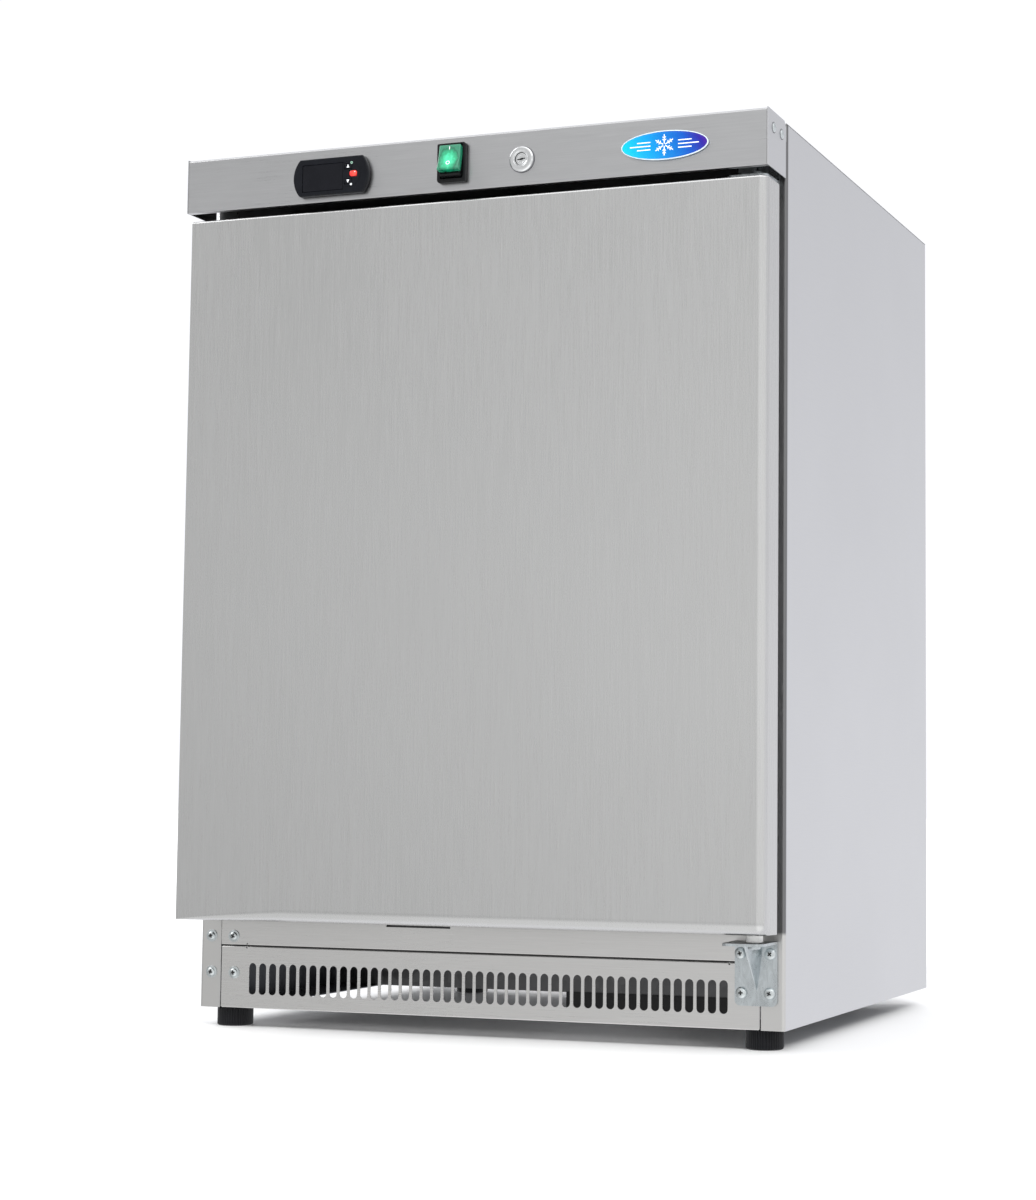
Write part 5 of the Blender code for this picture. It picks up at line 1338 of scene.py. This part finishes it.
def fan_blades(bm):
    c = Vector((-0.1380, 0.4550, 0.1150))
    for k in range(5):
        base = 2 * math.pi * k / 5
        grid = []
        for i in range(9):
            r = 0.0150 + (0.0718 - 0.0150) * i / 8
            pitch = math.radians(40 - 17 * i / 8)
            chord = 0.0220 + 0.0200 * math.sin(math.pi * min(1, (i + 1.5) / 10))
            row = []
            for j in range(7):
                u = (j / 6 - 0.5) * chord
                camber = 0.0018 * (1 - (2 * j / 6 - 1) ** 2)
                t = base + u * math.cos(pitch) / r
                row.append(c + Vector((u * math.sin(pitch) + camber, r * math.cos(t), r * math.sin(t))))
            grid.append(row)
        vs = [[bm.verts.new(p) for p in row] for row in grid]
        for a, b in zip(vs, vs[1:]):
            for j in range(6):
                bm.faces.new((a[j], a[j + 1], b[j + 1], b[j]))


bm = bmesh.new()
fan_blades(bm)
finish(object_of("condenser_fan_blades", bm), FIN, "condenser_fan", "aluminium", "condenser_fan_blade", thick=0.0010, sharp=40)
turned("condenser_fan_hub", BLACK, "condenser_fan", "black_plastic", [],
       [(0, 0.0095), (0.0160, 0.0095), (0.0180, 0.0080), (0.0180, -0.0060), (0.0165, -0.0078), (0.0060, -0.0080), (0, -0.0080)],
       (-0.1380, 0.4550, 0.1150), (1, 0, 0), 48)
turned("fan_motor_body", PAINT, CAB, "black_paint", ["condenser_fan_motor"],
       [(0, 0.0420), (0.0180, 0.0416), (0.0250, 0.0396), (0.0280, 0.0360), (0.0294, 0.0310), (0.0294, 0.0250), (0.0300, 0.0245), (0.0300, 0.0190),
        (0.0294, 0.0185), (0.0294, 0.0060), (0.0280, 0.0020), (0.0240, 0.0), (0, 0.0)], (-0.1240, 0.4550, 0.1150), (1, 0, 0), 56)
solid("fan_motor_bracket", lambda b: (prism(b, [(0.4500, 0.0240), (0.4600, 0.0240), (0.4600, 0.1000), (0.4500, 0.1000)], 'X', -0.1120, -0.1060),
                                      prism(b, rounded(rect(-0.1250, -0.0930, 0.4430, 0.4670), 0.003, 4), 'Z', 0.0224, 0.0240)),
      GALV, CAB, "galvanised", bevel=0.0004)


def pipe(name, points, r, mat=None, slot="copper", per=8, seg=14, node=()):
    solid(name, lambda b: sweep(b, smooth_route(points, per), r, seg), mat or COPPER, CAB, slot, *node, sharp=60)


pipe("suction_pipe_copper", [(0.1300, 0.5160, 0.1250), (0.1300, 0.5260, 0.1300), (0.1300, 0.5480, 0.1400), (0.1500, 0.5600, 0.1700), (0.1750, 0.5620, 0.2100),
                             (0.1800, 0.5620, 0.2650)], 0.0035, node=("suction_pipe",))
pipe("discharge_pipe", [(0.0600, 0.4750, 0.1150), (0.0500, 0.5050, 0.1150), (0.0420, 0.5350, 0.1120), (0.0250, 0.5540, 0.1100), (-0.0500, 0.5590, 0.1150),
                        (-0.1400, 0.5590, 0.1500), (-0.1780, 0.5560, 0.1800), (-0.1800, 0.5340, 0.1872)], 0.0028)
pipe("liquid_pipe", [(-0.1800, 0.5338, 0.0420), (-0.1780, 0.5500, 0.0430), (-0.1300, 0.5590, 0.0480), (-0.0300, 0.5590, 0.0620), (-0.0020, 0.5460, 0.0780),
                     (0.0000, 0.5310, 0.0950), (0.0000, 0.5300, 0.1075)], 0.0024)
coil = [(0.0000, 0.5300, 0.1940), (-0.0010, 0.5300, 0.2040)]
for k in range(26):
    t = math.pi / 4 * k
    coil.append((-0.0190 + 0.0180 * math.cos(t), 0.5280 + 0.0120 * math.sin(t), 0.2080 + 0.0013 * k))
coil += [(-0.0150, 0.5450, 0.2480), (-0.0150, 0.5500, 0.2640)]
pipe("capillary_coil", coil, 0.0011, per=3, seg=8)
turned("filter_drier_body", COPPER, CAB, "copper", ["filter_drier"],
       [(0, 0.0450), (0.0030, 0.0449), (0.0036, 0.0440), (0.0040, 0.0410), (0.0062, 0.0378), (0.0088, 0.0345), (0.0095, 0.0310), (0.0095, -0.0310),
        (0.0088, -0.0345), (0.0062, -0.0378), (0.0040, -0.0410), (0.0036, -0.0440), (0.0030, -0.0449), (0, -0.0450)], (0.0, 0.5300, 0.1500), (0, 0, 1), 40)
tray = [rrect('Z', 0.0330, 0.2270, 0.3630, 0.5420, 0.010, 0.2120), rrect('Z', 0.0312, 0.2288, 0.3612, 0.5438, 0.010, 0.2132),
        rrect('Z', 0.0300, 0.2300, 0.3600, 0.5450, 0.010, 0.2296), rrect('Z', 0.0302, 0.2298, 0.3602, 0.5448, 0.010, 0.2300),
        rrect('Z', 0.0318, 0.2282, 0.3618, 0.5432, 0.009, 0.2300), rrect('Z', 0.0320, 0.2280, 0.3620, 0.5430, 0.009, 0.2296),
        rrect('Z', 0.0332, 0.2268, 0.3632, 0.5418, 0.008, 0.2146), rrect('Z', 0.0340, 0.2260, 0.3640, 0.5410, 0.008, 0.2140)]
solid("drip_tray_moulded", lambda b: loft(b, tray), BLACK, CAB, "black_plastic", "drip_tray", sharp=50)
pipe("drain_hose_tube", [(0.0700, 0.5150, 0.2655), (0.0720, 0.5155, 0.2500), (0.0780, 0.5160, 0.2350), (0.0800, 0.5160, 0.2200)], 0.0050, NYLON, "nylon",
     10, 20, ("drain_hose",))
turned("cable_gland_body", BLACK, CAB, "black_plastic", ["cable_gland"],
       [(0.0040, 0.0120), (0.0070, 0.0120), (0.0075, 0.0116), (0.0080, 0.0100), (0.0082, 0.0086), (0.0090, 0.0080), (0.0090, 0.0020), (0.0120, 0.0019),
        (0.0120, -0.0018), (0.0117, -0.0020), (0.0080, -0.0020), (0.0077, -0.0030), (0.0080, -0.0040), (0.0077, -0.0050), (0.0080, -0.0060),
        (0.0077, -0.0080), (0.0080, -0.0100), (0.0077, -0.0120), (0.0080, -0.0150), (0.0070, -0.0160), (0.0040, -0.0160), (0.0040, 0.0120)],
       (0.2370, 0.5729, 0.0900), (0, 1, 0), 40, sharp=30)

# rear panel screws
for i, (x, z) in enumerate([(sx * 0.2900, z) for sx in (-1, 1) for z in (0.2780, 0.5000, 0.8300)] + [(0.0, 0.2720), (0.0, 0.8400)]):
    turned("back_panel_screw_%d" % (i + 1), ZINC, CAB, "zinc", [],
           [(0, 0.0010), (0.0018, 0.0009), (0.0026, 0.0004), (0.0029, 0.0), (0.0029, -0.0003), (0, -0.0003)], (x, 0.5839, z), (0, 1, 0), 24)

# dark pocket that the lock cam turns into
def strike_pocket(b):
    x0, x1, y0, y1, z0, z1 = LOCK_X - 0.0094, LOCK_X + 0.0329, 0.0151, 0.0249, 0.7701, DOOR_Z1 - 0.0012
    box(b, x0, x1, y0, y1, z0, z0 + 0.0003)
    for a in ((x0, x0 + 0.0003, y0, y1), (x1 - 0.0003, x1, y0, y1), (x0, x1, y0, y0 + 0.0003), (x0, x1, y1 - 0.0003, y1)):
        box(b, *a, z0, z1)


solid("lock_strike_pocket", strike_pocket, BLACK_SOFT, "door", "black_plastic")
# painted shade: black strip behind the seam between rail and grille, standing in for the shade in the seam
solid("rail_seam_shade_strip", lambda b: box(b, -0.2450, 0.2755, 0.0600, 0.0680, 0.0783, 0.0793), BLACK_SOFT, CAB, "black_plastic")
# painted shade: black strip under the right half of the compressor base, standing in for the shade on the floor there
solid("air_baffle_strip", lambda b: box(b, -0.0270, 0.1650, 0.3390, 0.3399, 0.0030, 0.0212), BLACK_SOFT, CAB, "black_plastic", bevel=0.0002,
      bevel_seg=2)

# ------------------------------------------------------------------ floor
bm = bmesh.new()
bm.faces.new([bm.verts.new(p) for p in ((-14, -14, 0), (14, -14, 0), (14, 16, 0), (-14, 16, 0))])
floor = object_of("floor", bm)
m = Nodes("floor_paint")
n1 = m.noise((3.0, 3.0, 3.0), 3.0, 0.5)
m.base(m.ramp(n1, [(0.3, (0.90, 0.90, 0.90)), (0.7, (0.92, 0.92, 0.92))]))
m.rough(0.55)
floor.data.materials.append(m.mat)
floor.visible_glossy = False
